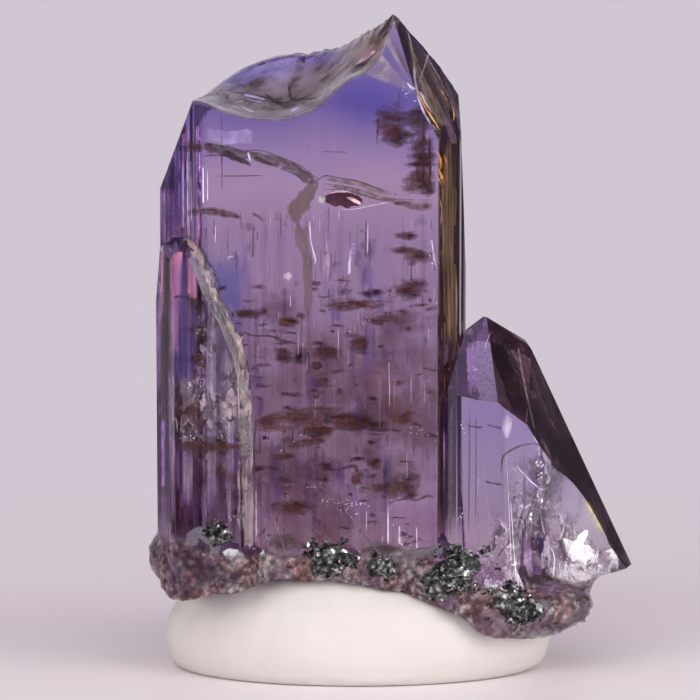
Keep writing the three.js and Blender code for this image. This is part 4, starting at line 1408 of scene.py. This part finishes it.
# Each crust: its place in x and z, half width, half height, how far its right end is
# raised, and its number of flakes.
GRAPHITE_CRUSTS = {
    "graphite_clump_left": (-6.1, 5.45, 0.5, 0.4, 0.5, 260),
    "graphite_clump_centre": (-2.2, 4.4, 0.85, 0.62, 0.2, 620),
    "graphite_clump_small": (-0.4, 4.15, 0.55, 0.45, 0.0, 300),
    "graphite_clump_right": (2.05, 4.05, 1.35, 0.62, 0.55, 950),
    "graphite_clump_lower_right": (4.3, 2.85, 1.15, 0.6, -0.35, 760),
}


def graphite_material():
    material, tree, shader = new_material("graphite_flakes")
    mottle = grain(tree, (5.0, 5.0, 5.0), 3.0)
    colour = ramp(mottle, [
        (0.38, (0.030, 0.033, 0.031)),
        (0.55, (0.12, 0.125, 0.12)),
        (0.69, (0.60, 0.60, 0.59)),
    ])
    feed(shader.inputs["Base Color"], colour)
    rough = mottle * 0.35 + 0.1
    feed(shader.inputs["Roughness"], rough)
    shader.inputs["Metallic"].default_value = 0.9
    return material


flake_finish = graphite_material()
for clump, (x, z, half_width, half_height, raised, count) in GRAPHITE_CRUSTS.items():
    dice = random.Random(clump)
    flakes = cad_copy(clump, clump.replace("clump", "flakes"))
    bm = bmesh.new()
    bm.from_mesh(flakes.data)
    clump_tree = BVHTree.FromBMesh(bm)
    patchy = dice.uniform(0, 90)
    placed = 0
    while placed < count:
        u, v = dice.gauss(0, 0.5), dice.gauss(0, 0.5)
        if noise.noise((u * 2.2 + patchy, v * 2.2, 0.5)) < 0.35 * math.hypot(u, v) - 0.25:
            continue
        at_x = x + u * half_width * math.cos(raised) - v * half_height * math.sin(raised)
        at_z = z + u * half_width * math.sin(raised) + v * half_height * math.cos(raised)
        start = Vector((at_x, AHEAD_Y, at_z)) * MM
        hits = [tree.ray_cast(start, Vector((0, 1, 0))) for tree in (clump_tree, stone_tree)]
        hits = [hit for hit in hits if hit[0] is not None]
        placed += 1
        if not hits:
            continue
        spot, outward, _, _ = min(hits, key=lambda hit: hit[0].y)
        if outward.y > 0:
            outward = -outward
        lean = Vector((dice.gauss(0, 1), dice.gauss(0, 1), dice.gauss(0, 1))) * 0.7
        size = dice.uniform(*FLAKE_RADII) * MM
        lift = dice.uniform(0.0, FLAKE_LIFT) * MM
        facing = (outward + lean).normalized()
        add_flake(bm, spot + outward * lift, facing, size, FLAKE_THICKNESS * MM, dice)
    bm.to_mesh(flakes.data)
    bm.free()
    flakes.data.materials.append(flake_finish)
    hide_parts(clump)
    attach(flakes, "root")


# The stand: a lump of white mounting putty, rolled in the fingers and pressed flat
# under the specimen, which it grips by sticking to it. Matte, with soft dents.

PUTTY_WHITE = (0.49, 0.454, 0.436)
PUTTY_SHADE = (0.50, 0.46, 0.44)
PUTTY_FACE = 0.13  # mm: the grain of its mesh
PUTTY_FOOT = 0.12  # mm: what is lower than this is pressed flat

putty = cad_copy("putty_stand", "putty_lump")
putty.data.transform(Matrix.Scale(PER_METRE, 4))
remesh = putty.modifiers.new("even_faces", "REMESH")
remesh.mode = "VOXEL"
remesh.voxel_size = PUTTY_FACE
evaluated = putty.evaluated_get(bpy.context.evaluated_depsgraph_get())
even = bpy.data.meshes.new_from_object(evaluated)
putty.modifiers.clear()
putty.data = even
bm = bmesh.new()
bm.from_mesh(even)
for _ in range(5):
    bmesh.ops.smooth_vert(bm, verts=bm.verts, factor=0.5, use_axis_x=True, use_axis_y=True, use_axis_z=True)
bm.normal_update()
for vert in bm.verts:
    if vert.co.z < PUTTY_FOOT:
        vert.co.z = max(vert.co.z - 0.03, 0.0)
        continue
    place = vert.co
    dents = 0.05 * noise.noise(place * 0.55) + 0.022 * noise.noise(place * 1.7)
    pores = 0.01 * noise.noise(place * 6.0)
    vert.co = place + vert.normal * (dents + pores - 0.02)
bm.to_mesh(even)
bm.free()
even.transform(Matrix.Scale(MM, 4))
even.shade_smooth()
material, tree, shader = new_material("white_putty")
tone = ramp(grain(tree, (0.42, 0.42, 0.42), 5.0), [(0.3, PUTTY_SHADE), (0.6, PUTTY_WHITE)])
feed(shader.inputs["Base Color"], tone)
bumpy(shader, grain(tree, (7.0, 7.0, 7.0), 5.0), 0.5, 0.02 * MM)
shader.inputs["Roughness"].default_value = 0.75
putty.data.materials.clear()
putty.data.materials.append(material)
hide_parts("putty_stand")
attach(putty, "root")


# The stage: a pale sheet under the specimen that melts into an even pale surround. What
# the stone itself sees is a lit backdrop and a bright tent above, with the sides of the
# room darker, which is what gives its faces their contrast.

FLOOR_TONE = (0.87, 0.795, 0.805)
FLOOR_MELTS = (46.0, 12.0)  # mm from the middle: where it is gone, where it is whole
FLOOR_IN_STONE = (44.0, 32.0)  # mm: the same, as the stone sees it
SURROUND = (0.590, 0.534, 0.600)

bpy.ops.mesh.primitive_circle_add(vertices=96, radius=0.5, fill_type="NGON", location=(0, 0, -0.02 * MM))
floor = bpy.context.object
floor.name = "pale_floor"
material, tree, shader = new_material("pale_floor")
shader.inputs["Base Color"].default_value = (*FLOOR_TONE, 1)
shader.inputs["Roughness"].default_value = 0.4
x, y, z = axes_in_mm(tree)
from_middle = root_of(x * x + y * y)
other_ray = 1.0 - Value(node(tree, "ShaderNodeLightPath").outputs["Is Camera Ray"])
nearby = rise(from_middle, *FLOOR_IN_STONE) * other_ray
feed(shader.inputs["Alpha"], larger(rise(from_middle, *FLOOR_MELTS), nearby))
floor.data.materials.append(material)

world = bpy.data.worlds.new("light_tent")
bpy.context.scene.world = world
world.use_nodes = True
tree = world.node_tree
background = tree.nodes["Background"]
place = node(tree, "ShaderNodeTexCoord")
towards = node(tree, "ShaderNodeSeparateXYZ", place.outputs["Generated"]).outputs
y, z = Value(towards["Y"]), Value(towards["Z"])
behind = rise(y, 0.80, 0.95)
above = rise(z, 0.6, 0.9) * 0.8
before = rise(y, 0.0, -0.5) * 0.8 * rise(y, -0.97, -0.88)
room = larger(larger(behind, above), before) * 0.95 + 0.12
seen = larger(room, node(tree, "ShaderNodeLightPath").outputs["Is Camera Ray"])
background.inputs["Color"].default_value = (*SURROUND, 1)
feed(background.inputs["Strength"], seen)


LAMP_AIM = Vector((0, 0, 0.011))  # the middle of the stone


def softbox(name, place, size, power):
    lamp = bpy.data.lights.new(name, "AREA")
    lamp.shape = "RECTANGLE"
    lamp.size, lamp.size_y = size
    lamp.energy = power
    obj = add_object(name, lamp)
    obj.location = place
    obj.rotation_euler = (LAMP_AIM - obj.location).to_track_quat("-Z", "Y").to_euler()
    obj.visible_camera = False
    return obj


softbox("key_softbox", (-0.03, -0.19, 0.19), (0.26, 0.18), 0.21)
left_lamp = softbox("left_softbox", (-0.15, -0.17, 0.05), (0.12, 0.12), 0.41)
# Polarised: its mirror image stays off the faces, and it lights what is dull.
left_lamp.visible_glossy = False
left_lamp.visible_transmission = False
softbox("right_softbox", (0.18, -0.13, 0.05), (0.14, 0.14), 0.53)


# The camera: a long lens a hand's breadth from the specimen, a little above its middle. It
# looks down by a few degrees, as in the photograph.

VIEW_CENTRE = Vector((-1.49, 0, 11.43)) * MM
VIEW_HEIGHT = math.radians(6.0)
VIEW_DISTANCE = 0.130
FRAME_WIDTH = 0.0252

lens = bpy.data.cameras.new("camera")
lens.sensor_width = 36.0
lens.lens = 36.0 * VIEW_DISTANCE / FRAME_WIDTH
lens.clip_start = 0.005
camera = add_object("camera", lens)
back = Vector((0, -math.cos(VIEW_HEIGHT), math.sin(VIEW_HEIGHT)))
camera.location = VIEW_CENTRE + back * VIEW_DISTANCE
camera.rotation_euler = (-back).to_track_quat("-Z", "Y").to_euler()
bpy.context.scene.camera = camera

scene = bpy.context.scene
scene.view_settings.view_transform = "Standard"
scene.cycles.max_bounces = 18
scene.cycles.transmission_bounces = 16
scene.cycles.transparent_max_bounces = 32
scene.cycles.diffuse_bounces = 3
scene.cycles.glossy_bounces = 6
